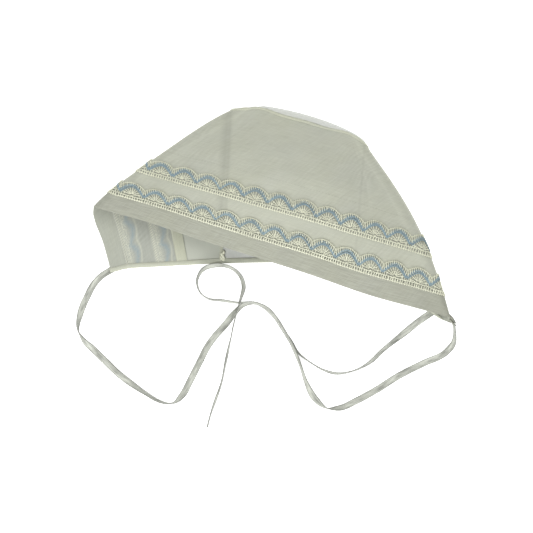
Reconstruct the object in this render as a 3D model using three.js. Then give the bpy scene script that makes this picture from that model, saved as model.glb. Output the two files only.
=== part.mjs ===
// Baby bonnet of sheer stiff cotton, lying on its side on a table.
// One long strip of cloth goes over the head from tie corner to tie corner, and its back edge
// is seamed round a back panel. Two rows of scalloped lace run along the front of the strip.
// Lying down, the strip is folded over at two soft folds: the far fold (left) and the near
// fold (right). The near layer is puffed above the far layer and the mouth is open.
// Units are millimetres, +X right and +Y up the table, +Z up. The origin is under the middle.

import * as THREE from 'three';

// Walls and clearances
const CLOTH = 1.0; // one thickness of cloth
const GAP = 0.3; // clearance between neighbouring pieces
const PANEL_GAP = 0.6; // clearance of the back panel, which turns down beside its seam
const LACE_WALL = 0.8; // thickness of the lace
const LACE_GAP = 0.8; // clearance of the lace over the strip's bends
const TABLE_GAP = 0.2; // what is sewn under the far layer stays just off the table
const BAND_PROUD = 1.0; // how far the doubled front band stands out of the strip

// Lengths of the lying bonnet's edges, each laid off at its own angle from the table's X
const FRONT_RUN = 283; // near layer's front edge, from the far fold to the near tie corner
const FAR_FOLD = 129; // far fold, from the front edge to the back seam
const NEAR_FOLD = 145; // near fold, from the front edge to the back seam
const FAR_FRONT = 49; // front edge of the far layer, from the fold to the far tie corner
const FAR_NECK = 84.5; // neck edge of the strip, far side
const PANEL_NECK = 99.5; // neck edge of the back panel
const CORNER_TURN = 7.6; // front edge turned under at the near tie corner

// Directions of those edges, degrees
const FRONT_ANGLE = -17.3;
const FAR_FOLD_ANGLE = 34.9;
const NEAR_FOLD_ANGLE = 116;
const FAR_FRONT_ANGLE = -75.3;
const FAR_NECK_ANGLE = 3.1;
const PANEL_NECK_ANGLE = 0.9;
const CORNER_TURN_ANGLE = 186;

// Puff of the cloth
const FAR_FOLD_FRONT_R = 5; // bend of the far fold at the front edge
const FAR_FOLD_BACK_R = 9; // and at the back seam
const FAR_FOLD_GROWTH = 0.7; // below 1, it opens out sooner than evenly
const NEAR_FOLD_FRONT_R = 2.3; // bend of the near fold at the tie corner
const NEAR_FOLD_BACK_R = 9; // and over its back half
const NEAR_FOLD_GROWTH = 0.4; // share of the depth over which it opens out
const DOME_FRONT = 8; // rise of the near layer between its folds, at the front edge
const DOME_MIDDLE = 17; // in the middle of the crown
const DOME_BACK = 4; // and at the back seam
const DOME_SHAPE = 1.4; // above 1, the rise starts level at the folds
const CORNER_LIFT = 1.5; // how far the turned-under near corner stands off the table
const FAR_BULGE = 3.7; // outward curve of the far fold
const NEAR_BULGE = 8.4; // outward curve of the near fold
const SEAM_BOW = 4.2; // backward curve of the back seam
const PANEL_BULGE = 9.8; // how far the back panel swells out behind the seam
const TABLE_SWELL = 0.6; // share of that swell where the panel leaves the table

// Bands and rows, measured from the front edge towards the back
const CROWN_DEPTH = 110; // front edge to back seam over the crown
const BAND_WIDTH = 14.5; // doubled front band
const LACE_WIDTH = 15; // each row of lace
const ROW_SPACE = 5.6; // plain cloth between the rows
const TUCK_SPACE = 0.8; // plain cloth between the second row and the tuck
const TUCK_WIDTH = 8; // tuck behind the second row, on the inside
const BINDING_WIDTH = 4; // narrow binding of the neck edge
const SEAM_WIDTH = 2.2; // seam between strip and back panel

// Lace
const SCALLOP = 19; // one scallop along the row
const FRONT_ROW_SHIFT = 5.5; // first scallop valley past the far fold, front row
const BACK_ROW_SHIFT = 7.5; // and back row
const FOOT_SHARE = 0.26; // solid footing of the lace
const OPENING_SHARE = { valley: 0.5, tip: 0.62 }; // top of the openings over valley and tip
const VALLEY_SHARE = 0.74; // height of the valley between two scallops
const SCALLOP_ROUNDNESS = 0.8; // below 1, the scallops are blunter than a sine

// Ribbon ties
const RIBBON_WIDTH = 5;
const RIBBON_WALL = 0.8;

// Soft dents of the near layer: where each crosses the front edge and the seam, as shares of
// the way from fold to fold, with its half width as such a share and its depth
const DENTS = [
  { front: 0.37, back: 0.06, width: 0.06, depth: 1.6 },
  { front: 0.72, back: 0.94, width: 0.06, depth: 1.0 },
  { front: 0.14, back: 0.42, width: 0.07, depth: 0.9 },
];

// Depth shares over which the dents and the lifts fade out
const DENT_FADE = { from: 0.65, to: 0.95 };
const FAR_LIFT_FADE = { from: 0.6, to: 0.85 };
const CORNER_LIFT_FADE = { from: 0.12, to: 0.47 };

// Grid counts
const RUN_STEPS = { far: 5, farFold: 8, crown: 30, nearFold: 11, near: 5 };
const CLOTH_ROWS = 9;
const PANEL_COLUMNS = 14;
const PANEL_FLAT_ROWS = 5;
const SCALLOP_COLUMNS = 6;
const BINDING_STEPS = 6;
const ROW_SAMPLES = 150;
const TIE_STEPS = 78;

const COLOURS = {
  cloth: 0xb8bbac,
  doubled: 0xbcbfae,
  panel: 0xc8cabf,
  lace: 0xcfd3c0,
  ribbon: 0xc4c6b8,
};

const clamp01 = (x) => Math.min(1, Math.max(0, x));
const mix = (a, b, t) => a + (b - a) * t;
const fade = (v, { from, to }) => 1 - clamp01((v - from) / (to - from));
const radians = (degrees) => (degrees * Math.PI) / 180;
const polar = (length, degrees) =>
  new THREE.Vector2(length * Math.cos(radians(degrees)), length * Math.sin(radians(degrees)));

// Corners of the lying bonnet in plan, starting from the far fold's front end
const farFoldFront = new THREE.Vector2(0, 0);
const farFoldBack = farFoldFront.clone().add(polar(FAR_FOLD, FAR_FOLD_ANGLE));
const nearFoldFront = farFoldFront.clone().add(polar(FRONT_RUN, FRONT_ANGLE));
const nearFoldBack = nearFoldFront.clone().add(polar(NEAR_FOLD, NEAR_FOLD_ANGLE));
const farCorner = farFoldFront.clone().add(polar(FAR_FRONT, FAR_FRONT_ANGLE));
const farNeckBack = farCorner.clone().add(polar(FAR_NECK, FAR_NECK_ANGLE));
const nearNeckBack = farNeckBack.clone().add(polar(PANEL_NECK, PANEL_NECK_ANGLE));
const nearCorner = nearFoldFront.clone().add(polar(CORNER_TURN, CORNER_TURN_ANGLE));
const nearNeck = nearCorner.distanceTo(nearNeckBack);

// Unit directions along and across the two folds, and across the crown
const farAlong = polar(1, FAR_FOLD_ANGLE);
const farOut = polar(1, FAR_FOLD_ANGLE + 90);
const nearAlong = polar(1, NEAR_FOLD_ANGLE + 180);
const nearOut = polar(1, NEAR_FOLD_ANGLE - 90);
const backOut = polar(1, FRONT_ANGLE + 90);

// How far a row slides along a fold while it goes round it, in bend radii below and above
const FAR_SLIDE = { below: 0.39, above: 0.77 };
const NEAR_SLIDE = { below: 1.2, above: 1.0 };

// The rows of lace lie under the far layer, so its front half is lifted by the lace
// and the turned-under near corner stands on the end of the left tie
const LACE_LIFT = LACE_WALL + LACE_GAP + TABLE_GAP;
const farLift = (v) => LACE_LIFT * fade(v, FAR_LIFT_FADE);
const cornerLift = (v) => CORNER_LIFT * fade(v, CORNER_LIFT_FADE) ** 1.5;
const nearLift = (v) => farLift(v) + cornerLift(v);

// Bend, plan place and height of a fold at depth share v: T is where the cloth leaves the
// table, O the outermost point and U where the near layer starts
function foldAt(v, front, back, bulge, bulgeShape, radius, out, along, slide) {
  const outer = front.clone().lerp(back, v).addScaledVector(out, bulge * bulgeShape(v));
  const middle = outer.clone().addScaledVector(out, -radius);
  return {
    radius,
    outer,
    below: middle.clone().addScaledVector(along, slide.below * radius),
    above: middle.clone().addScaledVector(along, -slide.above * radius),
  };
}

const farFoldAt = (v) =>
  foldAt(
    v,
    farFoldFront,
    farFoldBack,
    FAR_BULGE,
    (x) => 1 - (2 * x - 1) ** 4,
    mix(FAR_FOLD_FRONT_R, FAR_FOLD_BACK_R, v ** FAR_FOLD_GROWTH),
    farOut,
    farAlong.clone().negate(),
    FAR_SLIDE,
  );

const nearFoldAt = (v) =>
  foldAt(
    v,
    nearFoldFront,
    nearFoldBack,
    NEAR_BULGE,
    (x) => Math.sin(Math.PI * x),
    mix(NEAR_FOLD_FRONT_R, NEAR_FOLD_BACK_R, Math.sin((Math.PI / 2) * clamp01(v / NEAR_FOLD_GROWTH))),
    nearOut,
    nearAlong,
    NEAR_SLIDE,
  );

// A quarter-ellipse up from the table point to the outermost point, and another on to the top
function foldPoint(below, outer, above, zBelow, zAbove, turn) {
  const zOuter = (zBelow + zAbove) / 2;
  const phi = Math.PI * turn;
  const side = turn < 0.5 ? below : above;
  const plan = side.clone().lerp(outer, Math.sin(phi));
  return new THREE.Vector3(plan.x, plan.y, zOuter - (zAbove - zBelow) * 0.5 * Math.cos(phi));
}

const domeAt = (v) =>
  v < 0.5
    ? mix(DOME_FRONT, DOME_MIDDLE, Math.sin(Math.PI * v))
    : mix(DOME_BACK, DOME_MIDDLE, Math.sin(Math.PI * v));

function dentAt(v, w) {
  let depth = 0;
  for (const dent of DENTS) {
    const off = (w - mix(dent.front, dent.back, v)) / dent.width;
    depth += dent.depth * Math.exp(-off * off);
  }
  return depth * fade(v, DENT_FADE) * Math.sin(Math.PI * clamp01(w)) ** 0.5;
}

// Outer face of the strip. v is the share of the depth, 0 at the front edge and 1 at the back
// seam. k goes round the strip: 0 to 1 far layer, to 2 far fold, to 3 near layer over the
// crown, to 4 near fold, to 5 the stretch turned under to the neck edge.
function stripPoint(v, k) {
  const far = farFoldAt(v);
  const near = nearFoldAt(v);
  const farLow = farLift(v);
  const nearLow = nearLift(v);
  const farTop = farLow + 2 * far.radius;
  const nearTop = nearLow + 2 * near.radius;
  if (k < 1) {
    const neck = farCorner.clone().lerp(farNeckBack, v);
    const plan = neck.lerp(far.below, k);
    return new THREE.Vector3(plan.x, plan.y, farLow);
  }
  if (k < 2) {
    return foldPoint(far.below, far.outer, far.above, farLow, farTop, k - 1);
  }
  if (k < 3) {
    const w = k - 2;
    const arch = 4 * w * (1 - w);
    const plan = far.above.clone().lerp(near.above, w);
    plan.addScaledVector(backOut, SEAM_BOW * v * v * arch);
    const z = mix(farTop, nearTop, w) + domeAt(v) * arch ** DOME_SHAPE - dentAt(v, w);
    return new THREE.Vector3(plan.x, plan.y, z);
  }
  if (k < 4) {
    return foldPoint(near.below, near.outer, near.above, nearLow, nearTop, 4 - k);
  }
  const neck = nearCorner.clone().lerp(nearNeckBack, v);
  const plan = near.below.clone().lerp(neck, k - 4);
  return new THREE.Vector3(plan.x, plan.y, nearLow);
}

// Depth of the strip at k: full over the crown and less at the two neck edges
function depthAt(k) {
  const round = (x) => Math.sin((Math.PI / 2) * clamp01(x));
  if (k < 2.5) {
    return mix(FAR_NECK, CROWN_DEPTH, round(k / 1.5));
  }
  return mix(nearNeck, CROWN_DEPTH, round((5 - k) / 1.5));
}

// Depth share of a point t mm behind the front edge
const shareAt = (t, k) => Math.min(1, t / depthAt(k));

// Point and outward normal of the strip's outer face
function stripFrame(v, k) {
  const dv = 0.004;
  const dk = 0.01;
  const point = stripPoint(v, k);
  const alongK = stripPoint(v, Math.min(5, k + dk)).sub(stripPoint(v, Math.max(0, k - dk)));
  const alongV = stripPoint(Math.min(1, v + dv), k).sub(stripPoint(Math.max(0, v - dv), k));
  return { point, normal: alongK.cross(alongV).normalize() };
}

// A closed shell over a grid of frames: out and inn are its faces, measured along the normal
// outwards. Cells that keep refuses are left open, with walls round them.
function shell(grid, out, inn, keep = () => true) {
  const rows = grid.length;
  const columns = grid[0].length;
  const positions = [];
  const place = (frame, offset) => {
    const p = frame.point.clone().addScaledVector(frame.normal, offset);
    positions.push(p.x, p.y, p.z);
  };
  for (const row of grid) {
    for (const frame of row) place(frame, out);
  }
  for (const row of grid) {
    for (const frame of row) place(frame, inn);
  }
  const outer = (i, j) => i * columns + j;
  const inner = (i, j) => (rows + i) * columns + j;
  const kept = (i, j) => i >= 0 && j >= 0 && i < rows - 1 && j < columns - 1 && keep(i, j);
  const faces = [];
  const quad = (a, b, c, d) => faces.push(a, b, c, a, c, d);
  for (let i = 0; i < rows - 1; i++) {
    for (let j = 0; j < columns - 1; j++) {
      if (!kept(i, j)) continue;
      quad(outer(i, j), outer(i, j + 1), outer(i + 1, j + 1), outer(i + 1, j));
      faces.push(inner(i, j), inner(i + 1, j + 1), inner(i, j + 1));
      faces.push(inner(i, j), inner(i + 1, j), inner(i + 1, j + 1));
      const wall = (i1, j1, i2, j2) => quad(outer(i2, j2), outer(i1, j1), inner(i1, j1), inner(i2, j2));
      if (!kept(i - 1, j)) wall(i, j, i, j + 1);
      if (!kept(i, j + 1)) wall(i, j + 1, i + 1, j + 1);
      if (!kept(i + 1, j)) wall(i + 1, j + 1, i + 1, j);
      if (!kept(i, j - 1)) wall(i + 1, j, i, j);
    }
  }
  const used = new Map();
  const packed = [];
  const index = faces.map((vertex) => {
    if (!used.has(vertex)) {
      used.set(vertex, used.size);
      packed.push(...positions.slice(3 * vertex, 3 * vertex + 3));
    }
    return used.get(vertex);
  });
  const geometry = new THREE.BufferGeometry();
  geometry.setAttribute('position', new THREE.Float32BufferAttribute(packed, 3));
  geometry.setIndex(index);
  geometry.computeVertexNormals();
  return geometry;
}

// The cloth starts a binding's width and a gap from the neck edge
const NECK_INSET = BINDING_WIDTH + GAP;

// Place round the strip for a run and a share of that run, clear of the binding
function clearK(v, run, share) {
  if (run === 0) {
    const length = stripPoint(v, 0).distanceTo(stripPoint(v, 0.999));
    return mix(NECK_INSET / length, 1, share);
  }
  if (run === 4) {
    const length = stripPoint(v, 4).distanceTo(stripPoint(v, 5));
    return 4 + share * (1 - NECK_INSET / length);
  }
  return run + share;
}

// The same place on the line t mm behind the front edge, where t may hang on the depth there
function clearPlace(tAt, run, share) {
  let k = run + share;
  for (let i = 0; i < 3; i++) k = clearK(shareAt(tAt(depthAt(k)), k), run, share);
  return { k, v: shareAt(tAt(depthAt(k)), k) };
}

// Grid of the strip between two lines, each given as a distance from the front edge
function bandGrid(from, to, steps) {
  const grid = [];
  for (let row = 0; row <= steps; row++) {
    const tAt = (depth) => mix(from(depth), to(depth), row / steps);
    const line = [];
    Object.values(RUN_STEPS).forEach((count, run) => {
      for (let i = run === 0 ? 0 : 1; i <= count; i++) {
        const { k, v } = clearPlace(tAt, run, i / count);
        line.push(stripFrame(v, k));
      }
    });
    grid.push(line);
  }
  return grid;
}

const FOLD_MIDDLE = 1.5; // k at the far fold's outermost point

// One line round the strip, t mm behind the front edge, measured along the cloth from the far
// fold's outermost point
function makeRow(t) {
  const stations = [];
  let length = 0;
  let last = stripPoint(shareAt(t, 0), 0);
  for (let i = 0; i <= ROW_SAMPLES; i++) {
    const k = (5 * i) / ROW_SAMPLES;
    const point = stripPoint(shareAt(t, k), k);
    length += point.distanceTo(last);
    last = point;
    stations.push({ k, length });
  }
  const fold = stations[Math.round((ROW_SAMPLES * FOLD_MIDDLE) / 5)].length;
  stations.forEach((station) => {
    station.length -= fold;
  });
  const search = (key, wanted, result) => {
    let i = 1;
    while (i < ROW_SAMPLES && stations[i][key] < wanted) i++;
    const a = stations[i - 1];
    const b = stations[i];
    const part = clamp01((wanted - a[key]) / Math.max(1e-9, b[key] - a[key]));
    return mix(a[result], b[result], part);
  };
  const row = {
    kAt: (distance) => search('length', distance, 'k'),
    distanceAt: (k) => search('k', k, 'length'),
  };
  row.first = row.distanceAt(clearPlace(() => t, 0, 0).k);
  row.last = row.distanceAt(clearPlace(() => t, 4, 1).k);
  return row;
}

const frontLaceStart = BAND_WIDTH + GAP;
const backLaceStart = frontLaceStart + LACE_WIDTH + ROW_SPACE;
const tuckStart = backLaceStart + LACE_WIDTH + TUCK_SPACE;

const crownStripGeometry = shell(
  bandGrid(() => BAND_WIDTH + GAP, (depth) => depth - SEAM_WIDTH - GAP, CLOTH_ROWS),
  0,
  -CLOTH,
);
const frontBandGeometry = shell(bandGrid(() => 0, () => BAND_WIDTH, 2), BAND_PROUD, -CLOTH);
const backSeamGeometry = shell(bandGrid((depth) => depth - SEAM_WIDTH, (depth) => depth, 1), 0, -CLOTH);
const tuckGeometry = shell(
  bandGrid(() => tuckStart, () => tuckStart + TUCK_WIDTH, 1),
  -CLOTH - GAP,
  -2 * CLOTH - GAP,
);

// Back panel. p goes across from the far seam to the near seam, a gap clear of each, and q
// from the neck edge to the top seam: 0 to 1 lies on the table, 1 to 2 swells out and up.
const farEnd = farFoldAt(1);
const nearEnd = nearFoldAt(1);
function panelPoint(p, q) {
  const inset = PANEL_GAP / farEnd.outer.distanceTo(nearEnd.outer);
  const part = mix(inset, 1 - inset, p);
  const swell = PANEL_BULGE * (4 * p * (1 - p)) ** 0.5;
  const below = farEnd.below.clone().lerp(nearEnd.below, part);
  below.addScaledVector(backOut, TABLE_SWELL * swell);
  if (q < 1) {
    const plan = farNeckBack.clone().lerp(nearNeckBack, part).lerp(below, q);
    return new THREE.Vector3(plan.x, plan.y, 0);
  }
  const outer = farEnd.outer.clone().lerp(nearEnd.outer, part).addScaledVector(backOut, swell);
  const top = stripPoint(1, 2 + part);
  return foldPoint(below, outer, new THREE.Vector2(top.x, top.y), 0, top.z, q - 1);
}

function panelFrame(p, q) {
  const d = 0.006;
  const point = panelPoint(p, q);
  const across = panelPoint(Math.min(1, p + d), q).sub(panelPoint(Math.max(0, p - d), q));
  const up = panelPoint(p, Math.min(2, q + d)).sub(panelPoint(p, Math.max(0, q - d)));
  return { point, normal: up.cross(across).normalize() };
}

function panelGrid() {
  const grid = [];
  const rows = [];
  for (let i = 0; i <= PANEL_FLAT_ROWS; i++) rows.push(i / PANEL_FLAT_ROWS);
  for (let i = 1; i <= RUN_STEPS.farFold; i++) rows.push(1 + i / RUN_STEPS.farFold);
  for (const row of rows) {
    const line = [];
    for (let column = PANEL_COLUMNS; column >= 0; column--) {
      const p = column / PANEL_COLUMNS;
      const start = NECK_INSET / panelPoint(p, 0).distanceTo(panelPoint(p, 0.999));
      const lastBit = 0.02;
      const reach = panelPoint(p, 2 - lastBit).distanceTo(panelPoint(p, 2)) / lastBit;
      const q = row < 1 ? mix(start, 1, row) : mix(1, 2 - PANEL_GAP / reach, row - 1);
      line.push(panelFrame(p, q));
    }
    grid.push(line);
  }
  return grid;
}
const panelGeometry = shell(panelGrid(), 0, -CLOTH);

// Neck binding: one doubled narrow band on the table, round the far side, the panel and the
// near side, where it lifts with the corner
function bindingStations() {
  const stations = [];
  const push = (edge, inward, bottom, top) => {
    const toward = inward.clone().sub(edge).setZ(0).normalize();
    stations.push({ edge, inside: edge.clone().addScaledVector(toward, BINDING_WIDTH), bottom, top });
  };
  for (let i = 0; i <= BINDING_STEPS; i++) {
    const v = i / BINDING_STEPS;
    push(stripPoint(v, 0), stripPoint(v, 0.5), 0, farLift(v) + CLOTH);
  }
  for (let i = 1; i < BINDING_STEPS; i++) {
    const p = i / BINDING_STEPS;
    push(panelPoint(p, 0), panelPoint(p, 0.5), 0, CLOTH);
  }
  for (let i = BINDING_STEPS; i >= 0; i--) {
    const v = i / BINDING_STEPS;
    push(stripPoint(v, 5), stripPoint(v, 4.5), cornerLift(v), nearLift(v) + CLOTH);
  }
  return stations;
}

function bindingGeometry() {
  const stations = bindingStations();
  const frame = (plan, { bottom, top }) => ({
    point: new THREE.Vector3(plan.x, plan.y, bottom),
    normal: new THREE.Vector3(0, 0, top - bottom),
  });
  const edges = stations.map((station) => frame(station.edge, station));
  const insides = stations.map((station) => frame(station.inside, station));
  return shell([edges, insides], 1, 0);
}

// Lace: a straight footing, scallops with a valley between them, and three openings in each
// scallop, two beside the fan and one over the valley
const END_BLEND = 10; // scallops stand square to the row from a tenth of its length on
function laceHeights(share) {
  const arch = Math.sin(Math.PI * clamp01(share)) ** SCALLOP_ROUNDNESS;
  const openingTop = mix(OPENING_SHARE.valley, OPENING_SHARE.tip, arch);
  return [0, FOOT_SHARE, openingTop, mix(VALLEY_SHARE, 1, arch)].map((height) => height * LACE_WIDTH);
}

function laceGeometry(start, shift) {
  const centre = start + LACE_WIDTH / 2;
  const middle = makeRow(centre);
  const slant = 1 / Math.tan(radians(FAR_FOLD_ANGLE - FRONT_ANGLE));
  const from = Math.ceil((middle.first - shift) / SCALLOP);
  const to = Math.floor((middle.last - shift) / SCALLOP);
  const columns = [{ s: middle.first, share: (middle.first - shift) / SCALLOP - (from - 1) }];
  for (let scallop = from; scallop <= to; scallop++) {
    for (let cell = 0; cell < SCALLOP_COLUMNS; cell++) {
      const share = cell / SCALLOP_COLUMNS;
      const s = shift + SCALLOP * (scallop + share);
      if (s > middle.first + 1 && s < middle.last - 1) columns.push({ s, share, cell });
    }
  }
  columns.push({ s: middle.last, share: (middle.last - shift) / SCALLOP - to });
  const rows = new Map();
  const rowAt = (t) => {
    if (!rows.has(t)) rows.set(t, makeRow(t));
    return rows.get(t);
  };
  const grid = laceHeights(0).map((_, row) =>
    columns.map(({ s, share }) => {
      const t = start + laceHeights(share)[row];
      const line = rowAt(t);
      const part = (s - middle.first) / (middle.last - middle.first);
      const square = clamp01(END_BLEND * Math.min(part, 1 - part));
      const straight = s - slant * (t - centre);
      const k = line.kAt(mix(mix(line.first, line.last, part), straight, square));
      return stripFrame(shareAt(t, k), k);
    }),
  );
  const open = (row, column) => {
    const inside = column > 0 && column < columns.length - 2;
    return inside && row === 1 && columns[column].cell % 2 === 0;
  };
  return shell(grid, LACE_GAP + LACE_WALL, LACE_GAP, (row, column) => !open(row, column));
}

// Ribbon ties: routes on the table in plan from the tie corners, with the height of the
// ribbon's middle. The right tie crosses the left one and then itself in long low humps.
const ON_TABLE = RIBBON_WALL / 2 + TABLE_GAP;
const ON_ONE = ON_TABLE + RIBBON_WALL + GAP;
const ON_TWO = ON_ONE + RIBBON_WALL + GAP;
const RISING = mix(ON_TABLE, ON_ONE, 0.4);
const HIGHER = mix(ON_ONE, ON_TWO, 0.7);
const TAIL = ON_TABLE + 0.3; // the thin tail is rolled a little on its edge
const LEFT_ROUTE = [
  [11.6, -48.9, ON_TABLE],
  [6.1, -52.3, ON_TABLE],
  [0.8, -57.8, ON_TABLE],
  [-5.3, -68.4, ON_TABLE],
  [-10.6, -81.3, ON_TABLE],
  [-12.2, -93.5, ON_TABLE],
  [-7.6, -101.8, ON_TABLE],
  [0.0, -108.7, ON_TABLE],
  [18.2, -126.2, ON_TABLE],
  [39.5, -141.4, ON_TABLE],
  [50.2, -147.4, ON_TABLE],
  [59.3, -149.0, ON_TABLE],
  [66.9, -142.9, ON_TABLE],
  [73.0, -132.2, ON_TABLE],
  [80.6, -117.0, ON_TABLE],
  [86.6, -105.6, ON_TABLE],
  [92.7, -97.3, ON_TABLE],
  [99.6, -89.7, ON_TABLE],
  [106.4, -80.6, ON_TABLE],
  [113.2, -74.5, ON_TABLE],
  [123.1, -73.0, ON_TABLE],
  [130.7, -76.8, ON_TABLE],
  [136.8, -82.8, ON_TABLE],
  [142.9, -92.0, ON_TABLE],
  [149.0, -101.1, ON_TABLE],
  [155.0, -110.2, ON_TABLE],
  [164.2, -117.8, ON_TABLE],
  [173.3, -123.1, ON_TABLE],
  [183.9, -126.2, ON_TABLE],
  [196.1, -124.6, ON_TABLE],
  [208.2, -118.6, ON_TABLE],
  [232.6, -98.0, ON_TABLE],
  [246.2, -87.4, ON_TABLE],
  [259.5, -78.2, ON_TABLE],
];
const RIGHT_ROUTE = [
  [273.2, -88.2, ON_TABLE],
  [275.1, -95.0, ON_TABLE],
  [274.4, -104.1, ON_TABLE],
  [267.5, -110.2, ON_TABLE],
  [250.8, -118.6, ON_TABLE],
  [232.6, -127.7, ON_TABLE],
  [214.3, -139.1, ON_TABLE],
  [199.1, -147.4, ON_TABLE],
  [187.0, -152.8, ON_TABLE],
  [176.3, -152.8, ON_TABLE],
  [168.0, -145.9, ON_TABLE],
  [161.1, -133.8, RISING],
  [156.6, -120.8, ON_ONE],
  [151.2, -107.2, ON_ONE],
  [145.2, -95.8, ON_ONE],
  [139.1, -85.9, ON_ONE],
  [130.7, -76.8, ON_ONE],
  [121.6, -73.0, ON_ONE],
  [109.0, -73.0, ON_ONE],
  [97.3, -71.4, RISING],
  [86.5, -69.8, ON_TABLE],
  [79.8, -63.9, ON_TABLE],
  [78.3, -56.3, ON_TABLE],
  [82.8, -48.9, ON_TABLE],
  [92.0, -46.6, ON_TABLE],
  [102.3, -47.8, RISING],
  [110.6, -52.4, ON_ONE],
  [114.0, -60.3, HIGHER],
  [111.7, -69.9, ON_TWO],
  [108.9, -79.0, HIGHER],
  [106.0, -90.0, ON_ONE],
  [104.1, -99.6, RISING],
  [100.3, -117.8, TAIL],
  [95.0, -139.1, TAIL],
  [88.2, -165.7, TAIL],
];

// Flat ribbon: eight-sided section, thin across the table's height
function ribbonGeometry(route) {
  const path = new THREE.CatmullRomCurve3(route.map((point) => new THREE.Vector3(...point)));
  const halfWall = RIBBON_WALL / 2;
  const halfWidth = RIBBON_WIDTH / 2;
  const section = new THREE.Shape([
    new THREE.Vector2(-halfWall, -halfWidth + halfWall),
    new THREE.Vector2(-halfWall / 2, -halfWidth),
    new THREE.Vector2(halfWall / 2, -halfWidth),
    new THREE.Vector2(halfWall, -halfWidth + halfWall),
    new THREE.Vector2(halfWall, halfWidth - halfWall),
    new THREE.Vector2(halfWall / 2, halfWidth),
    new THREE.Vector2(-halfWall / 2, halfWidth),
    new THREE.Vector2(-halfWall, halfWidth - halfWall),
  ]);
  const settings = { steps: TIE_STEPS, bevelEnabled: false, extrudePath: path };
  return new THREE.ExtrudeGeometry(section, settings);
}

const colour = (name, roughness) =>
  new THREE.MeshStandardMaterial({ color: COLOURS[name], roughness, metalness: 0 });

function named(name, geometry, material) {
  const mesh = new THREE.Mesh(geometry, material);
  mesh.name = name;
  return mesh;
}

const cloth = new THREE.Group();
cloth.add(named('crown_strip', crownStripGeometry, colour('cloth', 0.85)));
cloth.add(named('front_band', frontBandGeometry, colour('doubled', 0.85)));
cloth.add(named('back_seam', backSeamGeometry, colour('doubled', 0.85)));
cloth.add(named('tuck_band', tuckGeometry, colour('doubled', 0.85)));
cloth.add(named('back_panel', panelGeometry, colour('panel', 0.85)));
cloth.add(named('neck_binding', bindingGeometry(), colour('doubled', 0.85)));
cloth.add(named('lace_front', laceGeometry(frontLaceStart, FRONT_ROW_SHIFT), colour('lace', 0.9)));
cloth.add(named('lace_back', laceGeometry(backLaceStart, BACK_ROW_SHIFT), colour('lace', 0.9)));

const ties = new THREE.Group();
ties.add(named('tie_left', ribbonGeometry(LEFT_ROUTE), colour('ribbon', 0.45)));
ties.add(named('tie_right', ribbonGeometry(RIGHT_ROUTE), colour('ribbon', 0.45)));

const bonnet = new THREE.Group();
bonnet.name = 'baby_bonnet';
bonnet.add(cloth, ties);
const middle = new THREE.Box3().setFromObject(cloth).getCenter(new THREE.Vector3());
bonnet.position.set(-middle.x, -middle.y, 0);

export default bonnet;
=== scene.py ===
"""Baby bonnet of sheer stiff cotton, lying on its side with its ribbon ties loose on the table.

The shapes repeat the part's own construction: a long strip goes over the head and is folded over
at two soft folds, its back edge is seamed round a back panel, and two rows of scalloped lace run
along its front. Lengths are in millimetres until a mesh is made, and in metres in the scene.
"""

import math

import bpy
import numpy as np
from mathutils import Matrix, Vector


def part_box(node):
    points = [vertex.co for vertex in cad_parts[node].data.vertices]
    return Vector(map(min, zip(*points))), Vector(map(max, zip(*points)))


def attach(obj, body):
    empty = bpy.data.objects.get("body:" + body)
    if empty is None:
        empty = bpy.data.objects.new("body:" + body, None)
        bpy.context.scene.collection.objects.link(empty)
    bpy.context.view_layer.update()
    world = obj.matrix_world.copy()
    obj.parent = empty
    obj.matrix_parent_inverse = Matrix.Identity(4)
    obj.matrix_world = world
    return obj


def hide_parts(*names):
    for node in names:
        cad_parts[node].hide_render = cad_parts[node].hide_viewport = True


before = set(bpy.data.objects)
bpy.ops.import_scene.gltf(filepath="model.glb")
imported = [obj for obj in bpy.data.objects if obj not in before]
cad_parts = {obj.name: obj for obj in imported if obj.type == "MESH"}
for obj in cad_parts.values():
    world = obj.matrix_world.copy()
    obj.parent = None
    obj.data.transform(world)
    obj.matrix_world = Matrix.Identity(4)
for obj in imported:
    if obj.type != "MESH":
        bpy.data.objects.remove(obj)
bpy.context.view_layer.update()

bl_info = {
    "name": "Baby Bonnet",
    "version": (1, 0, 0),
    "blender": (4, 5, 0),
    "location": "View3D > Sidebar > Bonnet",
    "description": "Dresses the baby bonnet in sheer cotton, lace and satin ribbon",
    "category": "Object",
}

MM = 0.001
BODY = "root"

# Edges of the lying bonnet, as in the part: lengths, and directions in degrees
CLOTH = 1.0
FRONT_RUN = 283.0
FAR_FOLD = 129.0
NEAR_FOLD = 145.0
FAR_FRONT = 49.0
FAR_NECK = 84.5
PANEL_NECK = 99.5
CORNER_TURN = 7.6
FRONT_ANGLE = -17.3
FAR_FOLD_ANGLE = 34.9
NEAR_FOLD_ANGLE = 116.0
FAR_FRONT_ANGLE = -75.3
FAR_NECK_ANGLE = 3.1
PANEL_NECK_ANGLE = 0.9
CORNER_TURN_ANGLE = 186.0

# Puff of the cloth, as in the part
FAR_FOLD_FRONT_R = 5.0
FAR_FOLD_BACK_R = 9.0
FAR_FOLD_GROWTH = 0.7
NEAR_FOLD_FRONT_R = 2.3
NEAR_FOLD_BACK_R = 9.0
NEAR_FOLD_GROWTH = 0.4
DOME_FRONT = 8.0
DOME_MIDDLE = 17.0
DOME_BACK = 4.0
DOME_SHAPE = 1.4
CORNER_LIFT = 1.5
LACE_LIFT = 1.8
FAR_BULGE = 3.7
NEAR_BULGE = 8.4
SEAM_BOW = 4.2
PANEL_BULGE = 9.8
TABLE_SWELL = 0.6
FAR_LIFT_FADE = (0.6, 0.85)
CORNER_LIFT_FADE = (0.12, 0.47)
FAR_SLIDE = (0.39, 0.77)
NEAR_SLIDE = (1.2, 1.0)

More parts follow.
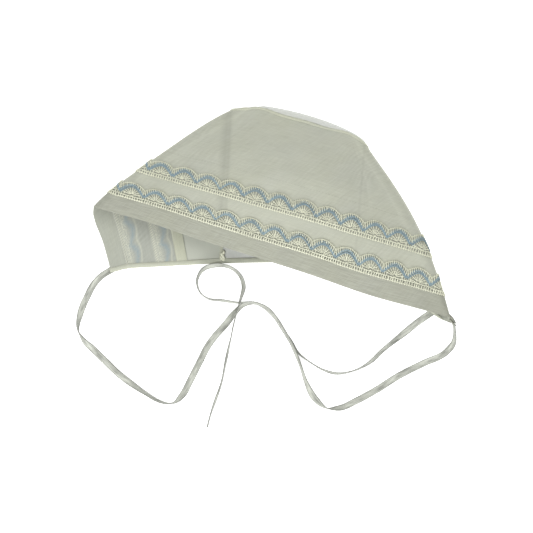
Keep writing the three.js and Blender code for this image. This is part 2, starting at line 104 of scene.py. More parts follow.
# Bands and rows, measured from the front edge towards the back
CROWN_DEPTH = 110.0
BAND_WIDTH = 14.5
LACE_WIDTH = 15.0
FRONT_LACE = 12.6
BACK_LACE = 35.2
TUCK_START = 51.2
TUCK_WIDTH = 8.0
BINDING_WIDTH = 4.0
SEAM_WIDTH = 2.2

# Slack that the dressed cloth has beyond the part's edges. A swell of the front edge has its
# reach towards the back, its place and half width as shares of the way from fold to fold, the
# depth shares where it fades, and the power that it sets in with at the far fold.
FRONT_SWELLS = [
    {"reach": 1.8, "centre": 0.12, "width": 0.1, "fade": (0.0, 0.3), "power": 0.3},
    {"reach": -1.9, "centre": 0.78, "width": 0.13, "fade": (0.0, 0.4), "power": 0.0},
]
SEAM_SLACK = 1.5
PANEL_SLACK = 0.9
PANEL_TAPER = 0.62
PANEL_TAPER_SPAN = (0.03, 0.2)
NECK_DIP = 2.4
NECK_DIP_REACH = 9.0
TABLE_TOP = 0.02

# Fuller corners: where each leans out in plan, how far, and the stretch round the strip that does
CORNERS = [
    {"centre": (124.0, 74.0), "radius": 15.0, "lean": (2.6, 4.4), "run": (1.3, 3.7), "at_seam": True},
    {"centre": (118.5, 77.0), "radius": 8.0, "lean": (0.0, 2.6), "run": (1.3, 3.7), "at_seam": True},
    {"centre": (195.0, 53.0), "radius": 14.0, "lean": (1.4, 4.6), "run": (1.3, 3.7), "at_seam": True},
    {"centre": (0.5, -9.5), "radius": 15.0, "lean": (-2.1, -0.2), "run": (0.2, 1.55), "at_seam": False},
]
CORNER_EASE = 0.6

# Soft waves of the stiff cloth over the crown: height, radians from fold to fold, radians from the
# front edge to the seam, and start. The last two are the fine ones of the back and the small pleats.
RIPPLES = [(0.30, 23.0, 7.0, 0.0), (0.22, -9.0, 31.0, 1.3)]
BACK_RIPPLE = (0.12, 57.0, -12.0, 0.6)
PLEATS = (0.16, 3.0, 150.0, 0.0)
PLEATS_PLACE = 0.55
PLEATS_WIDTH = 0.05

# Soft dents from the front edge to the seam: where each crosses them as shares of the way from
# fold to fold, its half width as such a share, its depth, and the depth shares where it fades
DENTS = [
    {"front": 0.37, "back": 0.06, "width": 0.06, "depth": 1.6, "fade": (0.65, 0.95)},
    {"front": 0.72, "back": 0.94, "width": 0.06, "depth": 1.0, "fade": (0.65, 0.95)},
    {"front": 0.14, "back": 0.42, "width": 0.07, "depth": 0.9, "fade": (0.65, 0.95)},
    {"front": 0.375, "back": 0.05, "width": 0.012, "depth": 0.55, "fade": (0.55, 1.0)},
    {"front": 0.74, "back": 0.96, "width": 0.012, "depth": 0.4, "fade": (0.7, 1.0)},
]

# Seams of the far layer that show through the crown, and in the first, wider band also the painted
# shade of the crease over that seam: two places in plan, half width and strength
SEEN_SEAMS_AND_CREASE_SHADE = [
    ((-33.5, 76.0), (-38.0, 5.0), 5.5, 0.42),
    ((-31.5, 70.0), (-34.5, 5.0), 1.6, 0.22),
    ((71.0, 62.0), (65.5, 0.0), 1.5, 0.20),
]

# Painted shade on the end of the hem, where it turns down to the near fold
HEM_SHADES = [((138.0, -20.0), (138.0, -80.0), 45.0, 0.3)]

# Mesh: columns over the far layer, far fold, crown, near fold and near layer, rows of the crown
RUN_COLUMNS = [60, 22, 190, 22, 50]
CROWN_ROWS = 56
EDGE_INSET = 0.004

# Running stitches: distance of each row from the front edge, lift, pitch, length and radius
STITCHES = [
    {"line": BAND_WIDTH - 0.8, "lift": 0.62, "pitch": 2.6, "length": 1.7, "radius": 0.13},
    {"line": TUCK_START + TUCK_WIDTH - 0.8, "lift": 0.02, "pitch": 2.4, "length": 1.5, "radius": 0.08},
]

# Rows of lace: how far the first scallop is moved along, and how the row lies over the hem
THREAD = 0.0008
SCALLOP = 19.0
LACE_ROWS = [
    {"name": "lace_front", "start": FRONT_LACE, "height": 0.94, "lift": 0.4, "shift": 6.5},
    {"name": "lace_back", "start": BACK_LACE, "height": 1.0, "lift": 0.0, "shift": 7.5},
]

# Lace: heights over its foot, numbers in one scallop, and radii of its threads
LADDER_LOW = 0.5
LADDER_HIGH = 3.0
LADDER_BARS = 10
SUN_HEIGHT = 4.0
SUN_RAYS = 9
SUN_RINGS = (1.3, 3.6)
VALLEY = 4.9
BLUE_RISE = 7.0
BLUE_CORDS = (-1.0, 0.0, 1.0)
EDGE_VALLEY = 9.9
EDGE_RISE = 4.2
PICOTS = 13
FOOT_CORD = 0.33
HEAD_CORD = 0.29
BAR = 0.43
BLUE_CORD = 0.38
WINDING = 0.24
EDGE_CORD = 0.28
PICOT = 0.26
RAY = 0.30
RING = 0.17
VALLEY_THREAD = 0.26
NET_THREAD = 0.22

# Hand work: the seed, and how much a thread strays along, strays up and varies in thickness
LACE_SEED = 5
HAND_WORK = (0.16, 0.14, 0.12)

# Lace as the cloth shows it: the painted shade under it, and through the far layer the height and half
# width of its ladder, rays and edge, and the half width of its blue thread
LACE_SHADE = 0.4
SEEN_LADDER = (1.8, 2.2)
SEEN_RAYS = (4.5, 3.5)
SEEN_EDGE = (12.4, 1.2)
SEEN_BLUE_WIDTH = 3.2
SEEN_BLUE = (0.25, 0.315, 0.34, 1.0)
SEEN_TINT = (0.86, 0.87, 0.905, 1.0)

# Roughness, specular level and sheen of the finishes
COTTON_GLOSS = (0.85, 0.2, 0.08)
THREAD_GLOSS = (0.8, 0.25, 0.1)
SATIN_GLOSS = (0.4, 0.35, 0.0)
TABLE_GLOSS = (0.9, 0.1, 0.0)

# Stage: the table's glow and reach, the sky, the lamps that aim at the bonnet, and the view
TABLE_GLOW = 0.75
TABLE_REACH = 30.0
SKY = 0.36
LAMPS = [
    {"name": "key", "place": (-0.7, -0.5, 1.35), "size": 0.6, "power": 14.0},
    {"name": "side", "place": (1.1, 0.1, 1.0), "size": 0.5, "power": 6.0},
    {"name": "front", "place": (-0.25, -1.3, 0.55), "size": 0.6, "power": 10.0},
    {"name": "back", "place": (0.1, 1.2, 1.1), "size": 0.6, "power": 7.0},
]
VIEW_CENTRE = (-4.1, -39.7)
VIEW_DEPTH = 100.0
SENSOR = 36.0

# Gathered cloth: both ends of each small fold in plan, its sideways bow, its foot and its height
SEAM_GATHERS = [
    ((97.6, -41.3), (97.9, -37.2), -1.0, 0.7, 0.5),
    ((97.7, -40.6), (97.9, -36.4), 1.2, 0.7, 0.7),
    ((97.7, -39.6), (98.0, -35.5), -0.3, 0.7, 1.0),
    ((97.8, -38.2), (98.1, -34.0), 0.9, 0.7, 0.8),
    ((97.9, -36.7), (98.2, -32.6), -0.7, 0.7, 0.5),
]
CORNER_GATHERS = [
    ((266.6, -79.6), (274.8, -88.4), 0.5, 2.6, 1.2),
    ((267.2, -84.6), (271.6, -87.8), -0.4, 1.6, 1.0),
    ((266.9, -82.0), (275.0, -90.2), -0.3, 1.8, 1.4),
]

# Ribbon: step along its route, wall, cup across its width, share of its half width that it stands
# up by, waves along it, and mesh columns
RIBBON_STEP = 1.5
RIBBON_WALL = 0.4
RIBBON_CUP = 0.55
RIBBON_STAND = 0.94
RIBBON_WAVE = 0.3
RIBBON_WAVE_LENGTH = 5.5
RIBBON_COLUMNS = 7

# Routes of the ties: place in plan, height and roll in degrees, where 0 is flat on the table
# and 90 stands on its edge
LEFT_ROUTE = [
    (17.3, -45.4, 0.4, 8),
    (11.8, -48.7, 0.6, 10),
    (6.1, -52.3, 0.6, 14),
    (0.8, -57.8, 0.6, 22),
    (-5.3, -68.4, 0.6, 4),
    (-10.6, -81.3, 0.6, -35),
    (-12.2, -93.5, 0.6, -75),
    (-7.6, -101.8, 0.6, -135),
    (0.0, -108.7, 0.6, -188),
    (9.0, -117.6, 0.6, -166),
    (18.2, -126.2, 0.6, -196),
    (29.0, -134.5, 0.6, -210),
    (39.5, -141.4, 0.6, -230),
    (50.2, -147.4, 0.6, -252),
    (59.3, -149.0, 0.6, -280),
    (66.9, -142.9, 0.6, -330),
    (73.0, -132.2, 0.6, -364),
    (80.6, -117.0, 0.6, -352),
    (86.6, -105.6, 0.6, -364),
    (92.7, -97.3, 0.6, -356),
    (99.6, -89.7, 0.6, -362),
    (106.4, -80.6, 0.6, -318),
    (113.2, -74.5, 0.6, -312),
    (123.1, -73.0, 0.6, -294),
    (130.7, -76.8, 0.6, -292),
    (136.8, -82.8, 0.6, -292),
    (142.9, -92.0, 0.6, -300),
    (149.0, -101.1, 0.6, -300),
    (155.0, -110.2, 0.6, -283),
    (164.2, -117.8, 0.6, -281),
    (173.3, -123.1, 0.6, -281),
    (183.9, -126.2, 0.6, -284),
    (196.1, -124.6, 0.6, -286),
    (208.2, -118.6, 0.6, -294),
    (220.5, -107.5, 0.6, -312),
    (232.6, -98.0, 0.6, -330),
    (246.2, -87.4, 0.6, -364),
    (259.5, -78.2, 0.6, -364),
]
RIGHT_ROUTE = [
    (271.6, -84.0, 1.0, 66),
    (273.2, -88.2, 0.6, 68),
    (274.2, -95.0, 0.6, 66),
    (273.2, -103.6, 0.6, 45),
    (267.5, -110.2, 0.6, -9),
    (250.8, -118.6, 0.6, 4),
    (241.5, -123.0, 0.6, -4),
    (232.6, -127.7, 0.6, 4),
    (214.3, -139.1, 0.6, -3),
    (199.1, -147.4, 0.6, 8),
    (187.0, -152.8, 0.6, 34),
    (176.3, -152.8, 0.6, 104),
    (168.0, -145.9, 0.6, 152),
    (161.1, -133.8, 1.04, 128),
    (156.6, -120.8, 1.7, 115),
    (151.2, -107.2, 1.7, 114),
    (145.2, -95.8, 1.7, 118),
    (139.1, -85.9, 1.7, 112),
    (130.7, -76.8, 1.7, 112),
    (121.6, -73.0, 1.7, 112),
    (109.0, -73.0, 1.7, 100),
    (97.3, -71.4, 1.04, 108),
    (86.5, -69.8, 0.6, 106),
    (79.8, -63.9, 0.6, 84),
    (78.1, -55.3, 0.6, 68),
    (82.8, -47.2, 0.6, 57),
    (92.0, -44.2, 0.6, 58),
    (102.3, -45.2, 1.04, 60),
    (110.8, -51.4, 1.7, 58),
    (114.0, -60.3, 2.47, 60),
    (111.7, -69.9, 2.8, 72),
    (108.9, -79.0, 2.47, 82),
    (106.0, -90.0, 1.7, 90),
    (104.1, -99.6, 1.04, 96),
    (100.3, -117.8, 0.6, 104),
    (96.4, -136.0, 0.6, 104),
    (92.4, -147.4, 0.6, 103),
    (88.2, -159.5, 0.6, 100),
    (86.1, -168.0, 0.6, 100),
]


class BonnetSizes(bpy.types.PropertyGroup):
    """Sizes that a user may change"""

    cloth_wall: bpy.props.FloatProperty(
        name="Cloth", description="Thickness of the sheer cloth", default=0.0003, unit="LENGTH"
    )
    hem_wall: bpy.props.FloatProperty(
        name="Hem", description="Thickness of the doubled bands", default=0.0009, unit="LENGTH"
    )
    thread: bpy.props.FloatProperty(
        name="Thread", description="Thickness of the lace's foot cord", default=THREAD, unit="LENGTH"
    )
    ribbon_width: bpy.props.FloatProperty(
        name="Ribbon", description="Width of the satin ties", default=0.005, unit="LENGTH"
    )
    camera_height: bpy.props.FloatProperty(
        name="Camera height", description="Height of the camera over the table", default=3.2, unit="LENGTH"
    )
    view_width: bpy.props.FloatProperty(
        name="View width", description="Width of table that the camera sees", default=0.405, unit="LENGTH"
    )


def colour_property(name, description, default):
    return bpy.props.FloatVectorProperty(
        name=name, description=description, default=default, subtype="COLOR", size=3, min=0.0, max=1.0
    )


class BonnetColours(bpy.types.PropertyGroup):
    """Colours that a user may change"""

    cloth: colour_property("Cloth", "Sheer cotton of the crown strip", (0.440, 0.453, 0.386))
    shade: colour_property("Cloth shade", "Darker threads of the sheer cotton", (0.362, 0.372, 0.313))
    doubled: colour_property("Doubled cloth", "Front hem and stitches", (0.350, 0.358, 0.302))
    inside: colour_property("Inside of the hem", "Hem seen from its inside", (0.385, 0.400, 0.345))
    tuck: colour_property("Tuck", "Doubled band inside the far layer", (0.490, 0.505, 0.410))
    casing: colour_property("Neck casing", "Doubled cloth of the neck edge", (0.475, 0.490, 0.405))
    panel: colour_property("Back panel", "Thinner cotton of the back panel", (0.580, 0.595, 0.560))
    # Back panel inside: the panel's cotton made lighter, painted light where it lies in shade in the mouth
    panel_inside_painted_light: colour_property("Panel inside", "Back panel seen in the mouth", (0.620, 0.635, 0.605))
    cream: colour_property("Cream thread", "Cotton thread of the lace", (0.740, 0.750, 0.600))
    blue: colour_property("Blue thread", "Gimp thread of the lace", (0.266, 0.356, 0.394))
    ribbon: colour_property("Ribbon", "Satin of the ties", (0.335, 0.346, 0.306))
    floor: colour_property("Table", "Surface that the bonnet lies on", (0.900, 0.900, 0.900))


def sizes():
    """The sizes that a user may change, in metres."""
    return bpy.context.scene.bonnet_sizes


def colours():
    """The colours that a user may change."""
    return bpy.context.scene.bonnet_colours


def polar(length, degrees):
    """A length laid off at an angle in plan."""
    angle = math.radians(degrees)
    return np.array([length * math.cos(angle), length * math.sin(angle)])


FAR_FOLD_START = np.zeros(2)
FAR_FOLD_END = FAR_FOLD_START + polar(FAR_FOLD, FAR_FOLD_ANGLE)
NEAR_FOLD_START = FAR_FOLD_START + polar(FRONT_RUN, FRONT_ANGLE)
NEAR_FOLD_END = NEAR_FOLD_START + polar(NEAR_FOLD, NEAR_FOLD_ANGLE)
FAR_CORNER = FAR_FOLD_START + polar(FAR_FRONT, FAR_FRONT_ANGLE)
FAR_NECK_END = FAR_CORNER + polar(FAR_NECK, FAR_NECK_ANGLE)
NEAR_NECK_END = FAR_NECK_END + polar(PANEL_NECK, PANEL_NECK_ANGLE)
NEAR_CORNER = NEAR_FOLD_START + polar(CORNER_TURN, CORNER_TURN_ANGLE)
NEAR_NECK = float(np.linalg.norm(NEAR_NECK_END - NEAR_CORNER))
BACK_OUT = polar(1, FRONT_ANGLE + 90)


def mix(a, b, t):
    """A value between a and b."""
    return a + (b - a) * t


def mix_points(a, b, t):
    """Points between a and b, for an array of shares."""
    return a + (b - a) * np.asarray(t)[..., None]


def fade(v, span):
    """1 before the span, 0 after it."""
    return 1 - np.clip((v - span[0]) / (span[1] - span[0]), 0, 1)


def fold_at(v, start, end, bulge, radius, direction, side, slide):
    """The radius of a fold, and in plan where the cloth leaves the table, its outermost point and
    where the near layer starts. side is 1 where the fold bulges to the left of its direction."""
    out = polar(1, direction + 90 * side)
    along = polar(1, direction)
    outer = mix_points(start, end, v) + bulge[..., None] * out
    middle = outer - radius[..., None] * out
    below = middle - (slide[0] * radius)[..., None] * along
    above = middle + (slide[1] * radius)[..., None] * along
    return radius, outer, below, above


def far_fold_at(v):
    """The far fold, which grows from the front edge to the seam."""
    bulge = FAR_BULGE * (1 - (2 * v - 1) ** 4)
    radius = mix(FAR_FOLD_FRONT_R, FAR_FOLD_BACK_R, v**FAR_FOLD_GROWTH)
    return fold_at(v, FAR_FOLD_START, FAR_FOLD_END, bulge, radius, FAR_FOLD_ANGLE, 1, FAR_SLIDE)


def near_fold_at(v):
    """The near fold, flat at the tie corner and soon as round as the far one."""
    bulge = NEAR_BULGE * np.sin(np.pi * v)
    growth = np.sin(np.pi / 2 * np.clip(v / NEAR_FOLD_GROWTH, 0, 1))
    radius = mix(NEAR_FOLD_FRONT_R, NEAR_FOLD_BACK_R, growth)
    return fold_at(v, NEAR_FOLD_START, NEAR_FOLD_END, bulge, radius, NEAR_FOLD_ANGLE, -1, NEAR_SLIDE)


def fold_point(below, outer, above, low, top, turn):
    """A quarter-ellipse up from the table to the outermost point, and another on to the top."""
    phi = np.pi * turn
    side = np.where((turn < 0.5)[..., None], below, above)
    plan = mix_points(side, outer, np.sin(phi))
    height = (low + top) / 2 - (top - low) * 0.5 * np.cos(phi)
    return np.concatenate([plan, height[..., None]], axis=-1)


def far_lift(v):
    """How far the front of the strip lies off the table, on its lace."""
    return LACE_LIFT * fade(v, FAR_LIFT_FADE)


def corner_lift(v):
    """How much higher the near tie corner lies."""
    return CORNER_LIFT * fade(v, CORNER_LIFT_FADE) ** 1.5


def dent_at(v, w):
    """Depth of the soft dents, with w from the far fold, 0, to the near fold, 1."""
    depth = np.zeros_like(v)
    for dent in DENTS:
        off = (w - mix(dent["front"], dent["back"], v)) / dent["width"]
        depth = depth + dent["depth"] * fade(v, dent["fade"]) * np.exp(-off * off)
    return depth * np.sin(np.pi * np.clip(w, 0, 1)) ** 0.5


def wave_at(v, w, wave):
    height, across, along, start = wave
    return height * np.sin(across * w + along * v + start)


def ripple_at(v, w):
    """Small soft waves of the stiff cloth over the crown."""
    edge = np.sin(np.pi * np.clip(w, 0, 1)) * np.sin(np.pi * np.clip(v, 0, 1)) ** 0.5
    waves = sum(wave_at(v, w, ripple) for ripple in RIPPLES)
    waves = waves + wave_at(v, w, BACK_RIPPLE) * np.clip(v * 2 - 0.9, 0, 1)
    pleats = wave_at(v, w, PLEATS) * np.exp(-(((v - PLEATS_PLACE) / PLEATS_WIDTH) ** 2))
    return edge * (waves + pleats * np.clip(1.4 - 2 * w, 0, 1))


def slack_at(v, w):
    """How far the loose cloth of the crown leans back beyond the part's straight edges."""
    slack = SEAM_SLACK * np.sin(np.pi * w) * v**4
    for swell in FRONT_SWELLS:
        off = (w - swell["centre"]) / swell["width"]
        reach = swell["reach"] * np.sin(np.pi * w / 2) ** swell["power"]
        slack = slack + reach * np.exp(-off * off) * fade(v, swell["fade"])
    return slack


def rounded(points, v, k):
    """Fuller corners where the back seam meets the two folds, and low on the far fold in front."""
    moved = points.copy()
    for corner in CORNERS:
        first, last = corner["run"]
        window = np.clip((k - first) / CORNER_EASE, 0, 1) * np.clip((last - k) / CORNER_EASE, 0, 1)
        window = window * window * (3 - 2 * window) * (v if corner["at_seam"] else 1 - v) ** 2
        away = points[..., :2] - np.array(corner["centre"])
        near = window * np.exp(-(away * away).sum(axis=-1) / corner["radius"] ** 2)
        moved[..., :2] += near[..., None] * np.array(corner["lean"])
    return moved


def strip_point(v, k):
    """Outer face of the strip: v from the front edge, 0, to the back seam, 1, and k round the
    strip, with the far layer to 1, the far fold to 2, the crown to 3 and the near fold to 4."""
    v, k = np.broadcast_arrays(np.asarray(v, float), np.asarray(k, float))
    far_r, far_outer, far_below, far_above = far_fold_at(v)
    near_r, near_outer, near_below, near_above = near_fold_at(v)
    far_low = far_lift(v)
    near_low = far_low + corner_lift(v)
    far_top = far_low + 2 * far_r
    near_top = near_low + 2 * near_r
    far_plan = mix_points(mix_points(FAR_CORNER, FAR_NECK_END, v), far_below, np.clip(k, 0, 1))
    far_layer = np.concatenate([far_plan, far_low[..., None]], axis=-1)
    far_bend = fold_point(far_below, far_outer, far_above, far_low, far_top, np.clip(k - 1, 0, 1))
    w = np.clip(k - 2, 0, 1)
    arch = 4 * w * (1 - w)
    dome_edge = np.where(v < 0.5, DOME_FRONT, DOME_BACK)
    dome = mix(dome_edge, DOME_MIDDLE, np.sin(np.pi * v))
    back = SEAM_BOW * v * v * arch + slack_at(v, w)
    crown_plan = mix_points(far_above, near_above, w) + back[..., None] * BACK_OUT
    crown_z = mix(far_top, near_top, w) + dome * arch**DOME_SHAPE - dent_at(v, w) + ripple_at(v, w)
    crown = np.concatenate([crown_plan, crown_z[..., None]], axis=-1)
    near_bend = fold_point(near_below, near_outer, near_above, near_low, near_top, np.clip(4 - k, 0, 1))
    near_plan = mix_points(near_below, mix_points(NEAR_CORNER, NEAR_NECK_END, v), np.clip(k - 4, 0, 1))
    near_layer = np.concatenate([near_plan, near_low[..., None]], axis=-1)
    run = k[..., None]
    turned = np.where(run < 4, near_bend, near_layer)
    points = np.where(run < 1, far_layer, np.where(run < 2, far_bend, np.where(run < 3, crown, turned)))
    return rounded(points, v, k)


def depth_at(k):
    """Depth of the strip at k: full over the crown and less at the two neck edges."""
    far = mix(FAR_NECK, CROWN_DEPTH, np.sin(np.pi / 2 * np.clip(k / 1.5, 0, 1)))
    near = mix(NEAR_NECK, CROWN_DEPTH, np.sin(np.pi / 2 * np.clip((5 - k) / 1.5, 0, 1)))
    return np.where(k < 2.5, far, near)


def share_at(t, k):
    """v at t mm behind the front edge."""
    return np.clip(t / depth_at(k), 0, 1)


def unit(vectors):
    """Each vector at length 1."""
    length = np.linalg.norm(vectors, axis=-1, keepdims=True)
    return vectors / np.maximum(length, 1e-9)


def strip_frame(v, k):
    """Points of the strip's outer face, with their outward normals."""
    step_v = 0.004
    step_k = 0.006
    along_k = strip_point(v, np.clip(k + step_k, 0, 5)) - strip_point(v, np.clip(k - step_k, 0, 5))
    along_v = strip_point(np.clip(v + step_v, 0, 1), k) - strip_point(np.clip(v - step_v, 0, 1), k)
    return strip_point(v, k), unit(np.cross(along_k, along_v))


# Where distances round the strip start, at the far fold, and the places that they are known at
FOLD_MIDDLE = 1.5
ROW_K = np.linspace(0, 5, 601)


def row_lengths(t):
    """Distance along the line t mm behind the front edge, from the far fold, at each of ROW_K."""
    points = strip_point(share_at(t, ROW_K), ROW_K)
    steps = np.linalg.norm(np.diff(points, axis=0), axis=-1)
    lengths = np.concatenate([[0], np.cumsum(steps)])
    return lengths - np.interp(FOLD_MIDDLE, ROW_K, lengths)


def panel_point(p, q):
    """Back panel: p from the far seam to the near seam, q from the neck edge over the table, to
    1, and on up to the top seam, 2."""
    p, q = np.broadcast_arrays(np.asarray(p, float), np.asarray(q, float))
    one = np.ones(1)
    _, far_outer, far_below, _ = far_fold_at(one)
    _, near_outer, near_below, _ = near_fold_at(one)
    taper = 1 - PANEL_TAPER * fade(p, PANEL_TAPER_SPAN)
    swell = ((PANEL_BULGE + PANEL_SLACK) * taper * np.sqrt(np.clip(4 * p * (1 - p), 0, 1)))[..., None]
    below = mix_points(far_below[0], near_below[0], p) + TABLE_SWELL * swell * BACK_OUT
    neck = mix_points(FAR_NECK_END, NEAR_NECK_END, p)
    flat_plan = mix_points(neck, below, np.clip(q, 0, 1))
    flat = np.concatenate([flat_plan, np.zeros(p.shape + (1,))], axis=-1)
    outer = mix_points(far_outer[0], near_outer[0], p) + swell * BACK_OUT
    top = strip_point(np.ones(p.shape), 2 + p)
    rise = fold_point(below, outer, top[..., :2], np.zeros(p.shape), top[..., 2], np.clip(q - 1, 0, 1))
    return np.where(q[..., None] < 1, flat, rise)


def panel_frame(p, q):
    """Points of the back panel's outer face, with their outward normals."""
    step = 0.006
    across = panel_point(np.clip(p + step, 0, 1), q) - panel_point(np.clip(p - step, 0, 1), q)
    up = panel_point(p, np.clip(q + step, 0, 2)) - panel_point(p, np.clip(q - step, 0, 2))
    return panel_point(p, q), unit(np.cross(up, across))


def binding_stations(count):
    """Edge, inward direction, bottom and top of the neck binding, from the far tie corner round
    the back panel to the near tie corner."""
    share = np.linspace(0, 1, count)
    edges = [strip_point(share, 0.0), panel_point(share, 0.0)[1:-1], strip_point(share[::-1], 5.0)]
    inner = [strip_point(share, 0.5), panel_point(share, 0.5)[1:-1], strip_point(share[::-1], 4.5)]
    bottom = [0 * share, 0 * share[1:-1], corner_lift(share[::-1])]
    lift = far_lift(share)
    top = [lift + CLOTH, 0 * share[1:-1] + CLOTH, lift[::-1] + corner_lift(share[::-1]) + CLOTH]
    edge = np.concatenate(edges)
    toward = np.concatenate(inner) - edge
    toward[:, 2] = 0
    return edge, unit(toward), np.concatenate(bottom), np.concatenate(top)


def part_shift():
    """From the lying bonnet's own corner to the part's origin, read off the neck binding."""
    edge, toward, _, _ = binding_stations(7)
    both = np.concatenate([edge, edge + BINDING_WIDTH * toward])
    low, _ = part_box("neck_binding")
    return np.array([low.x / MM - both[:, 0].min(), low.y / MM - both[:, 1].min(), 0.0])


SHIFT = part_shift()


def make_object(name, points, faces, materials, face_materials, uvs):
    """A mesh object from points in mm. uvs holds one place in mm on the cloth for each point, and
    face_materials the material of each face, or None where all have the first."""
    mesh = bpy.data.meshes.new(name)
    points = points + SHIFT
    points[:, 2] = np.maximum(points[:, 2], TABLE_TOP)
    mesh.from_pydata((points * MM).tolist(), [], [list(face) for face in faces])
    for material in materials:
        mesh.materials.append(material)
    if face_materials is not None:
        mesh.polygons.foreach_set("material_index", np.asarray(face_materials, dtype=np.int32))
    layer = mesh.uv_layers.new(name="cloth")
    corners = np.empty(len(mesh.loops), dtype=np.int32)
    mesh.loops.foreach_get("vertex_index", corners)
    layer.data.foreach_set("uv", (uvs[corners] * MM).astype(np.float32).ravel())
    mesh.polygons.foreach_set("use_smooth", [True] * len(mesh.polygons))
    mesh.update()
    piece = bpy.data.objects.new(name, mesh)
    bpy.context.scene.collection.objects.link(piece)
    return piece


def shell(points, normals, out, inn):
    """A closed shell over a grid: its points, its faces and which of them are inner faces."""
    rows, columns = points.shape[:2]
    outer = points + normals * np.broadcast_to(out, (rows, columns))[..., None]
    inner = points + normals * np.broadcast_to(inn, (rows, columns))[..., None]
    index = np.arange(rows * columns).reshape(rows, columns)
    a, b = index[:-1, :-1], index[:-1, 1:]
    c, d = index[1:, 1:], index[1:, :-1]
    outer_faces = np.stack([a, b, c, d], axis=-1).reshape(-1, 4)
    inner_faces = outer_faces[:, ::-1] + rows * columns
    rim = np.concatenate([index[0, :], index[1:, -1], index[-1, -2::-1], index[-2:0:-1, 0]])
    following = np.roll(rim, -1)
    walls = np.stack([following, rim, rim + rows * columns, following + rows * columns], axis=-1)
    faces = np.concatenate([outer_faces, inner_faces, walls])
    inside = np.zeros(len(faces), dtype=np.int32)
    inside[len(outer_faces) : 2 * len(outer_faces)] = 1
    every = np.concatenate([outer.reshape(-1, 3), inner.reshape(-1, 3)])
    return every, faces, inside


def strip_columns():
    """Values of k round the strip, starting and ending a small share inside the neck edges."""
    runs = [np.linspace(run, run + 1, count, endpoint=False) for run, count in enumerate(RUN_COLUMNS)]
    return np.clip(np.concatenate([*runs, [5.0]]), EDGE_INSET, 5 - EDGE_INSET)


def from_front(distance):
    """A line round the strip that keeps its distance from the front edge."""
    return lambda depth: distance + 0 * depth


def from_seam(distance):
    """A line round the strip that keeps its distance from the back seam."""
    return lambda depth: depth - distance


def band_grid(from_line, to_line, rows):
    """Grid of the strip between two lines, with the place of each point on the flat cloth."""
    k = strip_columns()[None, :]
    share = np.asarray(rows)[:, None]
    depth = depth_at(k)
    t = mix(from_line(depth), to_line(depth), share)
    v = np.clip(t / depth, 0, 1)
    points, normals = strip_frame(v, k + 0 * v)
    steps = np.linalg.norm(np.diff(points, axis=1), axis=-1)
    s = np.concatenate([np.zeros((len(rows), 1)), np.cumsum(steps, axis=1)], axis=1)
    fold = np.argmin(np.abs(k[0] - FOLD_MIDDLE))
    s = s - s[:, fold : fold + 1]
    return points, normals, np.stack([s, t + 0 * s], axis=-1)


def shell_object(name, grid, out, inn, cloths, slot, node):
    """A shell over a grid as the piece that stands for a CAD node. cloths names the finish of its
    outside and, where that differs, of its inside."""
    points, normals, uvs = grid
    every, faces, inside = shell(points, normals, out, inn)
    both = np.concatenate([uvs.reshape(-1, 2)] * 2)
    face_materials = inside if len(cloths) > 1 else None
    piece = make_object(name, every, faces, [finish(cloth) for cloth in cloths], face_materials, both)
    return dress(piece, slot, node)


def dress(piece, slot, *replaced):
    """Says what a piece rides on and which CAD nodes it stands for; its material slot is not used."""
    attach(piece, BODY)
    if replaced:
        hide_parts(*replaced)
    return piece


class Threads:
    """Collects tubes of thread along lines in space, to be joined as one mesh."""

    def __init__(self):
        self.points = []
        self.uvs = []
        self.faces = []
        self.materials = []
        self.count = 0

    def add(self, line, normals, radius, material=0, sides=6, flatness=1.0, closed=False):
        """A tube along a line. The radius may be one number or one for each point."""
        count = len(line)
        ahead = np.roll(line, -1, axis=0) - np.roll(line, 1, axis=0)
        if not closed:
            ahead[0] = line[1] - line[0]
            ahead[-1] = line[-1] - line[-2]
        tangent = unit(ahead)
        side = unit(np.cross(normals, tangent))
        up = np.cross(tangent, side)
        angle = 2 * np.pi * np.arange(sides) / sides
        radii = np.broadcast_to(radius, (count,))[:, None, None]
        ring = side[:, None] * np.cos(angle)[None, :, None]
        ring = ring + flatness * up[:, None] * np.sin(angle)[None, :, None]
        self.points.append((line[:, None] + radii * ring).reshape(-1, 3))
        lengths = np.concatenate([[0], np.cumsum(np.linalg.norm(np.diff(line, axis=0), axis=-1))])
        along = np.repeat(lengths, sides)
        self.uvs.append(np.stack([along, np.tile(angle / (2 * np.pi), count)], axis=-1))
        last = count if closed else count - 1
        first = self.count + np.arange(last) * sides
        following = self.count + ((np.arange(last) + 1) % count) * sides
        around = np.arange(sides)
        turned = (around + 1) % sides
        a = first[:, None] + around
        b = first[:, None] + turned
        c = following[:, None] + turned
        d = following[:, None] + around
        walls = np.stack([a, b, c, d], axis=-1).reshape(-1, 4).tolist()
        self.faces += walls
        self.materials += [material] * len(walls)
        if not closed:
            self.faces.append([self.count + i for i in reversed(range(sides))])
            self.faces.append([self.count + (count - 1) * sides + i for i in range(sides)])
            self.materials += [material] * 2
        self.count += count * sides

    def build(self, name, materials):
        """All the tubes as one mesh object."""
        points = np.concatenate(self.points)
        return make_object(name, points, self.faces, materials, self.materials, np.concatenate(self.uvs))


# Shader effects that several materials share


def feed(tree, socket, value):
    """Sets a socket to a number or colour, or links it to a value."""
    if isinstance(value, (int, float, tuple)):
        socket.default_value = value
    else:
        tree.links.new(value.socket, socket)


